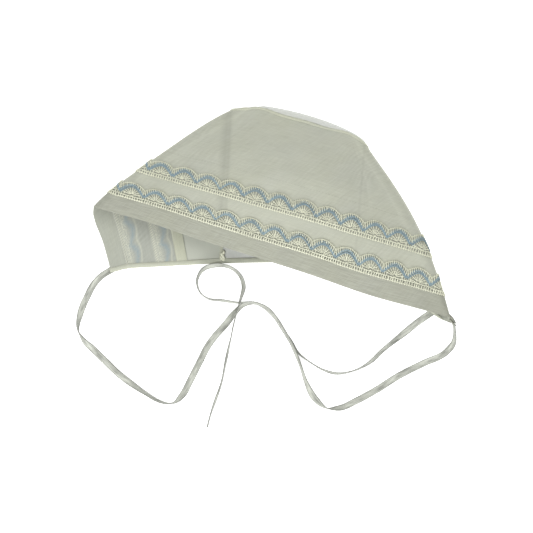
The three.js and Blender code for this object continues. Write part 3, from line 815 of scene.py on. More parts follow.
class Value:
    """A number, colour or place that changes over a surface. Sums of it add Math nodes."""

    def __init__(self, tree, socket):
        self.tree = tree
        self.socket = socket

    def node(self, kind, output, **inputs):
        """Another node's output, with this value as its Vector and numbers at other inputs."""
        node = self.tree.nodes.new(kind)
        feed(self.tree, node.inputs["Vector"], self)
        for label, value in inputs.items():
            node.inputs[label].default_value = value
        return Value(self.tree, node.outputs[output])

    def axes(self):
        """Its X, Y and Z."""
        node = self.tree.nodes.new("ShaderNodeSeparateXYZ")
        feed(self.tree, node.inputs[0], self)
        return [Value(self.tree, output) for output in node.outputs]

    def noise(self, scale, detail, roughness):
        """Noise from 0 to 1 over this place. scale is one number, or one for each axis."""
        place = self
        if isinstance(scale, tuple):
            place = self.node("ShaderNodeMapping", "Vector", Scale=scale)
            scale = 1.0
        return place.node("ShaderNodeTexNoise", "Fac", Scale=scale, Detail=detail, Roughness=roughness)

    def mix(self, first, second, blend="MIX"):
        """A colour between two, with this value as the share of the second."""
        return mix_colour(self.tree, self, first, second, blend)

    def math(self, operation, *others, clamp=False):
        """A Math node of this value and others."""
        return math_node(self.tree, operation, (self, *others), clamp)

    def line(self, slope, start, clamp=False):
        """This value times the slope, plus the start."""
        return self.math("MULTIPLY_ADD", slope, start, clamp=clamp)

    def rest(self):
        """What is left of 1, and no less than 0."""
        return math_node(self.tree, "SUBTRACT", (1.0, self), True)

    def __add__(self, other):
        return self.math("ADD", other)

    def __sub__(self, other):
        return self.math("SUBTRACT", other)

    def __mul__(self, other):
        return self.math("MULTIPLY", other)

    def __truediv__(self, other):
        return self.math("DIVIDE", other)

    def __abs__(self):
        return self.math("ABSOLUTE")


def math_node(tree, operation, values, clamp):
    node = tree.nodes.new("ShaderNodeMath")
    node.operation = operation
    node.use_clamp = clamp
    for socket, value in zip(node.inputs, values):
        feed(tree, socket, value)
    return Value(tree, node.outputs[0])


def mix_colour(tree, factor, first, second, blend):
    node = tree.nodes.new("ShaderNodeMix")
    node.data_type = "RGBA"
    node.blend_type = blend
    for socket, value in ((node.inputs[0], factor), (node.inputs[6], first), (node.inputs[7], second)):
        feed(tree, socket, value)
    return Value(tree, node.outputs[2])


def weave(place, threads, moire, streaks):
    """Plain weave: crossing threads, a slub here and there, and the moire of two sheer layers."""
    x, y, _ = place.axes()
    turns = threads * math.pi
    crossing = (x * turns).math("SINE") * (y * turns).math("SINE")
    weft_slub = place.noise((70, 1300, 1), 3.0, 0.65)
    slubs = place.noise((1300, 90, 1), 3.0, 0.65).line(0.5, weft_slub * streaks)
    cloud = place.noise((16, 16, 1), 2.0, 0.5)
    bands = x.line(1500.0, cloud * 90.0).math("SINE")
    patches = cloud.line(2.4, -0.9, clamp=True)
    return {"Height": crossing.line(0.5, 0.5), "Tone": (bands * (moire * patches)).line(0.25, slubs)}


def ply(place, turns):
    """Twisted thread: slanting plies along a tube whose place runs along and round it."""
    x, y, _ = place.axes()
    height = ((x * turns + y * (1 / MM)) * (2 * math.pi)).math("SINE").line(0.5, 0.5)
    fuzz = place.noise((700, 700, 1), 2.0, 0.6)
    return {"Height": height, "Tone": fuzz.line(0.6, height * 0.4)}


def yellowing(place, colour, amount):
    """Clouds of faint yellowing over the whole piece."""
    cloud = place.noise(30.0, 3.0, 0.55).line(2.2, -0.75, clamp=True)
    return {"Colour": (cloud * amount).mix(colour, (0.98, 0.97, 0.80, 1.0), "MULTIPLY")}


def soft_band(place, across_x, across_y, offset, width):
    """Soft straight band: 1 on a line across X and Y, and 0 at its width from there."""
    x, y, _ = place.axes()
    away = abs(y.line(across_y, x.line(across_x, offset)))
    return {"Mask": (away / width).rest()}


def lace_place(place, shift, start):
    """Place in a row of lace: along and up from its foot, in mm, and the share of its hills."""
    x, y, _ = place.axes()
    along = (x - shift) * (1 / MM)
    hill = abs((along * (math.pi / SCALLOP)).math("SINE"))
    return {"Along": along, "Height": (y - start) * (1 / MM), "Hill": hill}


# Node groups: what makes each, and its inputs with their defaults, where None stands for a place
WHITE = (1.0, 1.0, 1.0, 1.0)
EFFECTS = {
    "Sheer weave": (weave, {"Place": None, "Threads per metre": 2600.0, "Moire": 0.5, "Streaks": 0.5}),
    "Twisted ply": (ply, {"Place": None, "Turns per metre": 900.0}),
    "Yellowing": (yellowing, {"Place": None, "Colour": WHITE, "Amount": 0.3}),
    "Soft band": (
        soft_band,
        {"Place": None, "Across X": 0.0, "Across Y": 0.0, "Offset": 0.0, "Width": 1.0},
    ),
    "Lace place": (lace_place, {"Place": None, "Shift": 0.0, "Start": 0.0}),
}


def make_group(name):
    """The node group of an effect, with named inputs and outputs."""
    effect_of, inputs = EFFECTS[name]
    group = bpy.data.node_groups.new(name, "ShaderNodeTree")
    kinds = {type(None): "NodeSocketVector", tuple: "NodeSocketColor", float: "NodeSocketFloat"}
    for label, value in inputs.items():
        socket = group.interface.new_socket(label, in_out="INPUT", socket_type=kinds[type(value)])
        if value is not None:
            socket.default_value = value
    given = group.nodes.new("NodeGroupInput")
    results = effect_of(*(Value(group, given.outputs[label]) for label in inputs))
    for label in results:
        kind = kinds[tuple if label == "Colour" else float]
        group.interface.new_socket(label, in_out="OUTPUT", socket_type=kind)
    out = group.nodes.new("NodeGroupOutput")
    for label, value in results.items():
        feed(group, out.inputs[label], value)
    return group


def effect(tree, name, **values):
    """An effect's group placed in a tree with its own values, in whose names _ is a space."""
    node = tree.nodes.new("ShaderNodeGroup")
    node.node_tree = bpy.data.node_groups.get(name) or make_group(name)
    for label, value in values.items():
        feed(tree, node.inputs[label.replace("_", " ")], value)
    return {output.name: Value(tree, output) for output in node.outputs}


def new_material(name, roughness, specular, sheen):
    """A material with its node tree and its Principled shader."""
    material = bpy.data.materials.new(name)
    material.use_nodes = True
    tree = material.node_tree
    shader = tree.nodes["Principled BSDF"]
    shader.inputs["Roughness"].default_value = roughness
    shader.inputs["Specular IOR Level"].default_value = specular
    shader.inputs["Sheen Weight"].default_value = sheen
    return material, tree, shader


def paint(tree, shader, colour, height, strength, distance=0.0001):
    """Gives a shader its base colour, and a height as a bump."""
    feed(tree, shader.inputs["Base Color"], colour)
    node = tree.nodes.new("ShaderNodeBump")
    node.inputs["Strength"].default_value = strength
    node.inputs["Distance"].default_value = distance
    feed(tree, node.inputs["Height"], height)
    tree.links.new(node.outputs["Normal"], shader.inputs["Normal"])


def colour4(value, share=1.0):
    """A colour at a share of its brightness, for a socket."""
    return (value[0] * share, value[1] * share, value[2] * share, 1.0)


def cloth_place(tree):
    """The place on the flat cloth, or along and round a thread, in metres."""
    node = tree.nodes.new("ShaderNodeUVMap")
    node.uv_map = "cloth"
    return Value(tree, node.outputs["UV"])


def surface(tree, label):
    """The surface's Position or Normal."""
    return Value(tree, tree.nodes.new("ShaderNodeNewGeometry").outputs[label])


def cloth_colour(tree, light, dark, moire, streaks, age):
    """Base colour of a woven cloth, and the weave's height."""
    place = cloth_place(tree)
    woven = effect(tree, "Sheer weave", Place=place, Moire=moire, Streaks=streaks)
    tone = (woven["Tone"] - (0.25 + 0.5 * streaks)).line(3.2, 0.5, clamp=True)
    colour = tone.mix(colour4(dark), colour4(light))
    aged = effect(tree, "Yellowing", Place=place, Colour=colour, Amount=age)
    return aged["Colour"], woven["Height"]


def with_bands(tree, colour, dark, bands):
    """A colour with soft darker bands across the lying bonnet: two places in plan in mm, half
    width and strength of each."""
    for (x0, y0), (x1, y1), width, amount in bands:
        length = math.hypot(x1 - x0, y1 - y0)
        x, y = (y0 - y1) / length, (x1 - x0) / length
        band = effect(
            tree,
            "Soft band",
            Place=surface(tree, "Position"),
            Across_X=x / MM,
            Across_Y=y / MM,
            Offset=-(x * x0 + y * y0),
            Width=width,
        )
        colour = (band["Mask"] * amount).mix(colour, colour4(dark, 0.72))
    return colour


def lace_at(tree, row):
    """Place along and up from the foot of a row of lace, in mm, and the share of its hills."""
    place = cloth_place(tree)
    lace = effect(tree, "Lace place", Place=place, Shift=row["shift"] * MM, Start=row["start"] * MM)
    return lace["Along"], lace["Height"], lace["Hill"]


def lace_cover(tree, row):
    """Mask of the cloth that lies in the painted shade of a row of lace, up to its blue thread."""
    _, height, hill = lace_at(tree, row)
    below = (hill.line(BLUE_RISE, VALLEY + 0.8) - height).math("MULTIPLY", 0.8, clamp=True)
    return below * (height + 0.3).math("MULTIPLY", 0.8, clamp=True)


def lace_shadow(tree, row):
    """Masks of the cream and the blue thread of a row of lace that shows through the cloth."""
    along, height, hill = lace_at(tree, row)
    holes = cloth_place(tree).noise(1100.0, 1.0, 0.5).line(5.0, -2.0, clamp=True)

    def band(centre, width):
        return (abs(height - centre) / width).rest()

    bars = (along * (2 * LADDER_BARS * math.pi / SCALLOP)).math("SINE").line(0.45, 0.55)
    ladder = band(*SEEN_LADDER) * bars
    blue = band(hill.line(BLUE_RISE * 0.6, VALLEY + 2.0), SEEN_BLUE_WIDTH) * holes.line(0.5, 0.5)
    edge = band(hill.line(1.5, SEEN_EDGE[0]), SEEN_EDGE[1]) * 0.4
    rays = band(*SEEN_RAYS) * holes * 0.8
    return ladder.math("MAXIMUM", edge.math("MAXIMUM", rays)), blue


def sheer_cotton():
    """Outside of the single cloth, with the far layer's seams faintly seen through it and painted shade in
    a crease and under the lace.
    """
    material, tree, shader = new_material("sheer cotton", *COTTON_GLOSS)
    colour, height = cloth_colour(tree, colours().cloth, colours().shade, 0.3, 0.5, 0.3)
    # Painted shade under each row of lace
    for row in LACE_ROWS:
        colour = (lace_cover(tree, row) * LACE_SHADE).mix(colour, colour4(colours().shade, 0.5))
    colour = with_bands(tree, colour, colours().shade, SEEN_SEAMS_AND_CREASE_SHADE)
    paint(tree, shader, colour, height, 0.25)
    return material


def sheer_cotton_inside():
    """Inside of the single cloth, with the lace of the outside showing through."""
    material, tree, shader = new_material("sheer cotton inside", *COTTON_GLOSS)
    colour, height = cloth_colour(tree, colours().cloth, colours().shade, 0.25, 0.5, 0.1)
    colour = mix_colour(tree, 1.0, colour, SEEN_TINT, "MULTIPLY")
    _, depth, _ = cloth_place(tree).axes()
    beyond = (depth - (TUCK_START + TUCK_WIDTH) * MM).math("MULTIPLY", 1 / MM, clamp=True)
    colour = beyond.mix(colour, colour4(colours().inside, 1.2))
    for row in LACE_ROWS:
        cream, blue = lace_shadow(tree, row)
        colour = (blue * 0.85).mix(colour, SEEN_BLUE)
        colour = (cream * 0.75).mix(colour, colour4(colours().cream, 0.85))
    paint(tree, shader, colour, height, 0.25)
    return material


def folded_cotton(name, light, moire, streaks, age, depth, bands):
    """A plain cotton whose darker threads are a share of its colour, with soft bands of painted shade."""
    material, tree, shader = new_material(name, *COTTON_GLOSS)
    dark = [depth * channel for channel in light]
    colour, height = cloth_colour(tree, light, dark, moire, streaks, age)
    paint(tree, shader, with_bands(tree, colour, dark, bands), height, 0.3)
    return material


def cotton_thread(name, colour, dark_share):
    """Twisted cotton thread of the lace."""
    material, tree, shader = new_material(name, *THREAD_GLOSS)
    twist = effect(tree, "Twisted ply", Place=cloth_place(tree))
    twisted = twist["Tone"].mix(colour4(colour, dark_share), colour4(colour))
    paint(tree, shader, twisted, twist["Height"], 0.4, 0.00008)
    return material


def satin():
    """Satin ribbon: fine floats along its length and soft creases in its bump and roughness, and in its
    colour painted sheen in lighter and darker patches, painted shade where it stands up, and darker
    towards its edges.
    """
    material, tree, shader = new_material("satin ribbon", *SATIN_GLOSS)
    place = cloth_place(tree)
    floats = place.noise((110, 2600, 1), 3.0, 0.65)
    creases = place.noise((75, 260, 1), 2.0, 0.55)
    _, _, up = surface(tree, "Normal").axes()
    _, across, _ = place.axes()
    # darker towards the ribbon's two edges
    middle = abs(across * (2.0 / sizes().ribbon_width)).line(-3.0, 3.2, clamp=True)
    # painted shade where the ribbon stands up, read from its normal
    lying = abs(up).line(0.6, 0.4, clamp=True) * middle
    # painted sheen: lighter and darker patches from the creases and floats
    tone = creases.line(2.6, floats.line(2.0, -2.0))
    shade = lying * tone.line(0.7, 0.3, clamp=True)
    # painted sheen and shade: the colour runs from half to nearly twice the ribbon's own
    colour = shade.mix(colour4(colours().ribbon, 0.5), colour4(colours().ribbon, 1.85))
    feed(tree, shader.inputs["Roughness"], floats.line(0.25, 0.3))
    paint(tree, shader, colour, creases.line(3.5, floats), 0.4, 0.00012)
    return material


# Plain cottons by the name of their colour: material, moire, streaks, yellowing, share of the darker
# threads and bands of painted shade
PLAIN_COTTONS = {
    "doubled": ("doubled cotton", 0.1, 1.0, 0.3, 0.8, HEM_SHADES),
    "inside": ("doubled cotton inside", 0.2, 0.7, 0.2, 0.86, ()),
    "tuck": ("tuck cotton", 0.1, 0.6, 0.3, 0.86, ()),
    "casing": ("casing cotton", 0.1, 0.6, 0.3, 0.86, ()),
    "panel": ("panel cotton", 0.2, 0.5, 0.2, 0.93, ()),
    "panel_inside_painted_light": ("panel cotton inside", 0.2, 0.5, 0.2, 0.86, ()),
}
THREADS = {"cream": ("cream thread", 0.85), "blue": ("blue thread", 0.75)}
OTHER_FINISHES = {"sheer": sheer_cotton, "sheer_inside": sheer_cotton_inside, "satin": satin}
MATERIALS = {}


def make_finish(name):
    """A new material by name: a plain cotton, a thread or one with a function of its own."""
    if name in OTHER_FINISHES:
        return OTHER_FINISHES[name]()
    colour = getattr(colours(), name)
    if name in THREADS:
        title, dark_share = THREADS[name]
        return cotton_thread(title, colour, dark_share)
    title, *values = PLAIN_COTTONS[name]
    return folded_cotton(title, colour, *values)


def finish(name):
    """A material by name, made when it is first asked for."""
    if name not in MATERIALS:
        MATERIALS[name] = make_finish(name)
    return MATERIALS[name]


def smooth_route(route, step):
    """Points every step mm along a smooth curve through a route, with their rolls."""
    knots = np.array(route, float)
    chord = np.concatenate([[0], np.cumsum(np.linalg.norm(np.diff(knots[:, :3], axis=0), axis=1))])
    slopes = np.gradient(knots, chord, axis=0)
    where = np.arange(0, chord[-1] + step / 2, step)
    where = np.minimum(where, chord[-1])
    i = np.clip(np.searchsorted(chord, where, side="right") - 1, 0, len(knots) - 2)
    span = (chord[i + 1] - chord[i])[:, None]
    u = (where[:, None] - chord[i][:, None]) / span
    start = (2 * u**3 - 3 * u**2 + 1) * knots[i] + (u**3 - 2 * u**2 + u) * span * slopes[i]
    end = (3 * u**2 - 2 * u**3) * knots[i + 1] + (u**3 - u**2) * span * slopes[i + 1]
    return start + end


def make_tie(name, route, wave):
    """One satin tie along its route, turned on its edge where the route's roll says."""
    samples = smooth_route(route, RIBBON_STEP)
    line = samples[:, :3].copy()
    roll = np.radians(samples[:, 3])
    half = sizes().ribbon_width / MM / 2
    line[:, 2] += half * np.abs(np.sin(roll)) * RIBBON_STAND
    tangent = unit(np.gradient(line, axis=0))
    side = unit(np.cross(np.array([0, 0, 1.0]), tangent))
    up = np.cross(tangent, side)
    across = side * np.cos(roll)[:, None] + up * np.sin(roll)[:, None]
    face = np.cross(tangent, across)
    columns = np.linspace(-1, 1, RIBBON_COLUMNS)
    cup = RIBBON_CUP * (columns**2 - 0.4)
    lengths = np.concatenate([[0], np.cumsum(np.linalg.norm(np.diff(line, axis=0), axis=1))])
    ripple = wave * np.sin(lengths / RIBBON_WAVE_LENGTH)[:, None] * columns * RIBBON_WAVE
    grid = line[:, None] + across[:, None] * (columns * half)[None, :, None]
    grid = grid + face[:, None] * (cup[None, :] + ripple)[..., None]
    normals = np.broadcast_to(face[:, None], grid.shape)
    every, faces, _ = shell(grid, normals, RIBBON_WALL / 2, -RIBBON_WALL / 2)
    uv = np.stack(np.broadcast_arrays(lengths[:, None], columns * half), axis=-1).reshape(-1, 2)
    both = np.concatenate([uv, uv])
    tie = make_object(name + "_ribbon", every, faces, [finish("satin")], None, both)
    dress(tie, "satin_ribbon", name)
    path = (line + SHIFT) * MM


def rounded_fold(rows, radius, out, inn):
    """Outer and inner offsets of a band whose first rows round over a folded edge."""
    t = np.asarray(rows)
    bend = np.sqrt(np.clip(1 - (1 - np.clip(t / radius, 0, 1)) ** 2, 0.01, 1))
    middle = (out + inn) / 2
    return middle + (out - middle) * bend, middle + (inn - middle) * bend


def make_crown_cloth():
    """The single cloth of the strip, from just under the hem to the seam."""
    under_hem = 2.0
    turned_in = 0.6
    thicker_at_hem = 0.25
    rows = np.linspace(0, 1, CROWN_ROWS)
    grid = band_grid(from_front(BAND_WIDTH - under_hem), from_seam(turned_in), rows)
    wall = sizes().cloth_wall / MM
    inner = -wall - thicker_at_hem * (rows < 0.02)[:, None]
    cloths = ["sheer", "sheer_inside"]
    piece = shell_object("crown_cloth", grid, 0.0, inner, cloths, "sheer_cotton", "crown_strip")


def make_front_hem():
    """The doubled hem, which rounds over at the front edge."""
    t = np.concatenate([[0.0, 0.06, 0.2, 0.45], np.linspace(1.0, BAND_WIDTH, 14)])
    grid = band_grid(from_front(0), from_front(BAND_WIDTH), t / BAND_WIDTH)
    wall = sizes().hem_wall / MM
    out, inn = rounded_fold(t, 0.45, wall * 0.45, -wall * 0.55)
    cloths = ["doubled", "inside"]
    shell_object("front_hem", grid, out[:, None], inn[:, None], cloths, "doubled_cotton", "front_band")


def make_tuck():
    """The tuck that shows on the inside, behind the second row of lace."""
    t = np.concatenate([np.linspace(0, TUCK_WIDTH - 0.5, 7), [TUCK_WIDTH - 0.2, TUCK_WIDTH]])
    grid = band_grid(from_front(TUCK_START), from_front(TUCK_START + TUCK_WIDTH), t / TUCK_WIDTH)
    wall = sizes().cloth_wall / MM
    shell_object("tuck_cloth", grid, -wall - 0.05, -wall - 0.3, ["tuck"], "doubled_cotton", "tuck_band")


def make_back_seam():
    """The seam's low ridge along the back edge of the strip."""
    rows = np.linspace(0, 1, 7)
    grid = band_grid(from_seam(SEAM_WIDTH), from_seam(0), rows)
    ridge = 0.15 + 0.4 * np.sin(np.pi * rows) ** 0.6
    shell_object("seam", grid, ridge[:, None], -0.9, ["tuck"], "doubled_cotton", "back_seam")


def make_back_panel():
    """The back panel, over the table and up to the top seam."""
    p = np.linspace(0, 1, 90)[None, :]
    q = np.concatenate([np.linspace(0.02, 1, 50, endpoint=False), np.linspace(1, 1.99, 40)])[:, None]
    points, normals = panel_frame(p + 0 * q, q + 0 * p)
    points = points[:, ::-1]
    normals = normals[:, ::-1]
    across = np.linalg.norm(np.diff(points, axis=1), axis=-1)
    along = np.linalg.norm(np.diff(points, axis=0), axis=-1)
    u = np.concatenate([np.zeros((len(q), 1)), np.cumsum(across, axis=1)], axis=1)
    w = np.concatenate([np.zeros((1, p.shape[1])), np.cumsum(along, axis=0)], axis=0)
    grid = (points, normals, np.stack([u, w], axis=-1))
    wall = sizes().cloth_wall / MM
    # The panel's inside is lighter than its outside as painted light
    cloths = ["panel", "panel_inside_painted_light"]
    piece = shell_object("back_panel_cloth", grid, 0.0, -wall, cloths, "sheer_cotton", "back_panel")


def make_neck_binding():
    """The narrow casing of the neck edge, slightly puckered and dipping at the far tie corner."""
    edge, toward, bottom, top = binding_stations(90)
    lengths = np.concatenate([[0], np.cumsum(np.linalg.norm(np.diff(edge, axis=0), axis=1))])
    pucker = 0.10 * np.sin(lengths * 2.9) + 0.07 * np.sin(lengths * 1.31 + 0.8)
    profile = np.linspace(0, 1, 11)
    round_edge = np.sin(np.pi * profile) ** 0.35
    plan = edge[:, None] + toward[:, None] * (profile * BINDING_WIDTH)[None, :, None]
    half = ((top - bottom) / 2)[:, None]
    plan[..., 1] -= NECK_DIP * np.exp(-((lengths / NECK_DIP_REACH) ** 2))[:, None]
    plan[..., 2] = ((top + bottom) / 2)[:, None]
    up = np.zeros_like(plan)
    up[..., 2] = 1.0
    out = (half + 0.1 + pucker[:, None] * np.sin(np.pi * profile)[None, :]) * round_edge[None, :]
    inn = -half * round_edge[None, :]
    uvs = np.stack(np.broadcast_arrays(lengths[:, None], profile * BINDING_WIDTH), axis=-1)
    grid = (plan.transpose(1, 0, 2), up.transpose(1, 0, 2), uvs.transpose(1, 0, 2))
    shell_object("neck_casing", grid, out.T, inn.T, ["casing"], "doubled_cotton", "neck_binding")


class LaceRow:
    """Turns a place in the lace, along the row and up from its foot, into a place in space. The
    lace runs straight over the crown, and its ends turn to run out square to the neck edge."""

    def __init__(self, row):
        self.start = row["start"]
        self.height = row["height"]
        self.lift = row["lift"]
        self.centre = self.start + LACE_WIDTH / 2
        self.slant = 1 / math.tan(math.radians(FAR_FOLD_ANGLE - FRONT_ANGLE))
        self.lines = np.linspace(self.start - 1, self.start + LACE_WIDTH + 1, 18)
        self.lengths = np.array([row_lengths(t) for t in self.lines])
        self.ends = [self.end_k(t) for t in self.lines]
        self.first, self.last = np.interp(self.end_k(self.centre), ROW_K, row_lengths(self.centre))

    def end_k(self, t):
        """Where the row stops at the two ends of the neck binding."""
        v = share_at(t, 0.0)
        far = np.linalg.norm(strip_point(v, 0.999) - strip_point(v, 0.0))
        v = share_at(t, 5.0)
        near = np.linalg.norm(strip_point(v, 4.001) - strip_point(v, 5.0))
        inset = BINDING_WIDTH - 0.5
        return inset / far, 5 - inset / near

    def place(self, s, height, lift):
        """Points and normals for arrays of distance along the row, height and lift."""
        t = self.start + height * self.height
        part = (s - self.first) / (self.last - self.first)
        square = np.clip(10 * np.minimum(part, 1 - part), 0, 1)
        straight = s - self.slant * (t - self.centre)
        upper = np.clip(np.searchsorted(self.lines, t), 1, len(self.lines) - 1)
        k = np.zeros_like(s)
        share = (t - self.lines[upper - 1]) / (self.lines[upper] - self.lines[upper - 1])
        for row, weight in ((upper - 1, 1 - share), (upper, share)):
            for index in np.unique(row):
                chosen = row == index
                lengths = self.lengths[index]
                first, last = np.interp(self.ends[index], ROW_K, lengths)
                wanted = mix(mix(first, last, part[chosen]), straight[chosen], square[chosen])
                k[chosen] += weight[chosen] * np.interp(wanted, lengths, ROW_K)
        points, normals = strip_frame(share_at(t, k), k)
        lift = self.lift * np.clip(1.3 - height / 4, 0, 1) + lift
        return points + normals * np.broadcast_to(lift, s.shape)[:, None], normals


def scallop_wave(x, low, rise, power):
    """Height of a scalloped line over the lace's foot."""
    return low + rise * np.abs(np.sin(np.pi * x / SCALLOP)) ** power


def blue_wave(x):
    return scallop_wave(x, VALLEY, BLUE_RISE, 1.0)


def edge_wave(x):
    return scallop_wave(x, EDGE_VALLEY, EDGE_RISE, 0.75)


def scallop_lines():
    """Lines of one scallop: places along and up, thread's radius in mm, lift, and which thread."""
    lines = []

    def line(x, y, radius, lift=0.4, thread=0):
        x = np.asarray(x, float)
        y = np.broadcast_to(np.asarray(y, float), x.shape).copy()
        lines.append((x, y, radius, lift, thread))

    # Ladder at the foot
    full = np.linspace(0, SCALLOP, 41)
    ripple = np.cos(2 * LADDER_BARS * np.pi * full / SCALLOP)
    line(full, LADDER_LOW + 0.35 * ripple, FOOT_CORD, 0.45)
    line(full, LADDER_HIGH - 0.25 * ripple, HEAD_CORD, 0.5)
    for bar in range(LADDER_BARS):
        x = SCALLOP * (bar + 0.5) / LADDER_BARS
        line([x - 0.12, x, x + 0.12], [LADDER_LOW, (LADDER_LOW + LADDER_HIGH) / 2, LADDER_HIGH], BAR)

    # Blue cords and the thread wound round them
    slope = np.gradient(blue_wave(full), full)
    lean = np.sqrt(1 + slope * slope)
    half_width = 0.55 + 0.45 * np.sin(np.pi * full / SCALLOP) ** 1.5
    for cord in BLUE_CORDS:
        reach = cord * half_width - 0.1
        x = full - reach * slope / lean
        line(x, blue_wave(full) + reach / lean, BLUE_CORD, 0.75 - 0.1 * abs(cord), 1)
    for step in range(2, 40, 3):
        across = np.array([-1.5, 0.0, 1.5]) * half_width[step]
        x = full[step] - across * slope[step] / lean[step]
        line(x, blue_wave(full[step]) + across / lean[step], WINDING, 0.85, 1)

    # Outer edge and its picots
    line(full, edge_wave(full) + 0.4 * np.cos(2 * PICOTS * np.pi * full / SCALLOP), EDGE_CORD, 0.5)
    for step in range(PICOTS):
        x = SCALLOP * (step + 0.5) / PICOTS
        lean_out = (x - SCALLOP / 2) * 0.13
        low = min(blue_wave(x) + 0.5, edge_wave(x) - 1.2)
        line([x - 0.5 * lean_out, x + 0.6 * lean_out], [low, edge_wave(x) + 0.5], PICOT, 0.9)

    # Sun under the blue wave: rays, rings and the three legs that it stands on
    centre = SCALLOP / 2

    def spoke(angle, ends, lift=0.4):
        line(centre - ends * math.cos(angle), SUN_HEIGHT + ends * math.sin(angle), RAY, lift)

    for ray in range(SUN_RAYS):
        angle = math.pi * (ray + 0.5) / SUN_RAYS
        reach = np.linspace(0.7, 8.0, 40)
        x = centre - reach * math.cos(angle)
        inside = SUN_HEIGHT + reach * math.sin(angle) < blue_wave(x) - 0.6
        length = reach[inside].max() if inside.any() else 1.5
        spoke(angle, np.linspace(1.1 + 0.5 * (ray % 2), length, 4), 0.45)
    for radius in SUN_RINGS:
        angles = np.linspace(0.05, 0.95, 11) * math.pi
        line(centre - radius * np.cos(angles), SUN_HEIGHT + radius * 0.95 * np.sin(angles), RING, 0.5)
    for leg in range(3):
        angle = math.radians(225 + 45 * leg)
        spoke(angle, np.linspace(0.2, (SUN_HEIGHT - LADDER_HIGH) / max(0.4, -math.sin(angle)), 3))

    # Threads in the valley between two scallops, and the net over it
    for x in (-3.4, -1.7, 0.0, 1.7, 3.4):
        top = min(blue_wave(abs(x)) - 0.5, 7.4)
        line([x, x * 0.9], [LADDER_HIGH, max(LADDER_HIGH + 0.4, top)], VALLEY_THREAD)
    for side in (-1, 1):
        line([3.4 * side, 4.3 * side, 5.6 * side], [LADDER_HIGH, 5.2, 7.2], NET_THREAD)
        line([0.0, 1.6 * side, 3.2 * side], [6.2, 8.0, 10.2], WINDING, 0.45)
        line([0.0, 1.1 * side], [7.8, 8.4], NET_THREAD, 0.45)
    return lines


def make_lace(row):
    """One row of lace all round the strip, thread by thread."""
    places = LaceRow(row)
    threads = Threads()
    random = np.random.default_rng(LACE_SEED)
    share = sizes().thread / THREAD
    first = math.ceil((places.first - row["shift"]) / SCALLOP) - 1
    last = math.floor((places.last - row["shift"]) / SCALLOP)
    for scallop in range(first, last + 1):
        for x, y, radius, lift, thread in scallop_lines():
            along, up, thicker = random.normal(0, HAND_WORK)
            s = row["shift"] + SCALLOP * scallop + x + along
            inside = (s >= places.first) & (s <= places.last)
            if inside.sum() < 2:
                continue
            points, normals = places.place(s[inside], y[inside] + up, lift)
            threads.add(points, normals, radius * share * (1 + thicker), thread, sides=5)
    piece = threads.build(row["name"] + "_thread", [finish("cream"), finish("blue")])
    dress(piece, "cotton_lace", row["name"])


def make_stitches():
    """Running stitches along the hem and the tuck."""
    threads = Threads()
    for row in STITCHES:
        lengths = row_lengths(row["line"])
        for start in np.arange(lengths[0] + 6, lengths[-1] - 6, row["pitch"]):
            s = start + np.array([0.0, 0.3, 0.7, 1.0]) * row["length"]
            k = np.interp(s, lengths, ROW_K)
            points, normals = strip_frame(share_at(row["line"], k), k)
            arc = row["lift"] + np.array([-0.12, 0.05, 0.05, -0.12])
            threads.add(points + normals * arc[:, None], normals, row["radius"], 0, sides=5)
    dress(threads.build("running_stitches", [finish("doubled")]), "cotton_lace")


def gathers(name, folds, cloth):
    """A small bunch of puckered cloth."""
    threads = Threads()
    share = np.linspace(0, 1, 9)
    bow = np.sin(np.pi * share)
    for start, end, sideways, foot, height in folds:
        start, end = np.array(start), np.array(end)
        across = unit(np.array([start[1] - end[1], end[0] - start[0]]))
        plan = mix_points(start, end, share) + sideways * bow[:, None] * across
        points = np.concatenate([plan, (foot + height * bow)[:, None]], axis=1)
        up = np.broadcast_to([0.0, 0.0, 1.0], points.shape)
        threads.add(points, up, 0.35 + 0.65 * bow, 0, sides=8)
    dress(threads.build(name, [finish(cloth)]), "doubled_cotton")


def make_floor():
    """The pale table, lit a little from within so that it is white in the picture."""
    mesh = bpy.data.meshes.new("floor")
    corners = [(x * TABLE_REACH, y * TABLE_REACH, 0) for x, y in ((-1, -1), (1, -1), (1, 1), (-1, 1))]
    mesh.from_pydata(corners, [], [(0, 1, 2, 3)])
    material, tree, shader = new_material("pale table", *TABLE_GLOSS)
    coordinates = tree.nodes.new("ShaderNodeTexCoord")
    grain = Value(tree, coordinates.outputs["Object"]).noise(60.0, 3.0, 0.5)
    colour = grain.mix(colour4(colours().floor, 0.985), colour4(colours().floor))
    feed(tree, shader.inputs["Base Color"], colour)
    shader.inputs["Emission Color"].default_value = WHITE
    shader.inputs["Emission Strength"].default_value = TABLE_GLOW
    mesh.materials.append(material)
    floor = bpy.data.objects.new("floor", mesh)
    bpy.context.scene.collection.objects.link(floor)


def make_lights():
    """The white sky and the soft lamps."""
    world = bpy.data.worlds.new("studio")
    world.use_nodes = True
    background = world.node_tree.nodes["Background"]
    background.inputs["Color"].default_value = WHITE
    background.inputs["Strength"].default_value = SKY
    bpy.context.scene.world = world
    for lamp in LAMPS:
        light = bpy.data.lights.new(lamp["name"], "AREA")
        light.size = lamp["size"]
        light.energy = lamp["power"]
        lamp_object = bpy.data.objects.new(lamp["name"], light)
        lamp_object.location = lamp["place"]
        lamp_object.rotation_euler = (-Vector(lamp["place"])).to_track_quat("-Z", "Y").to_euler()
        bpy.context.scene.collection.objects.link(lamp_object)


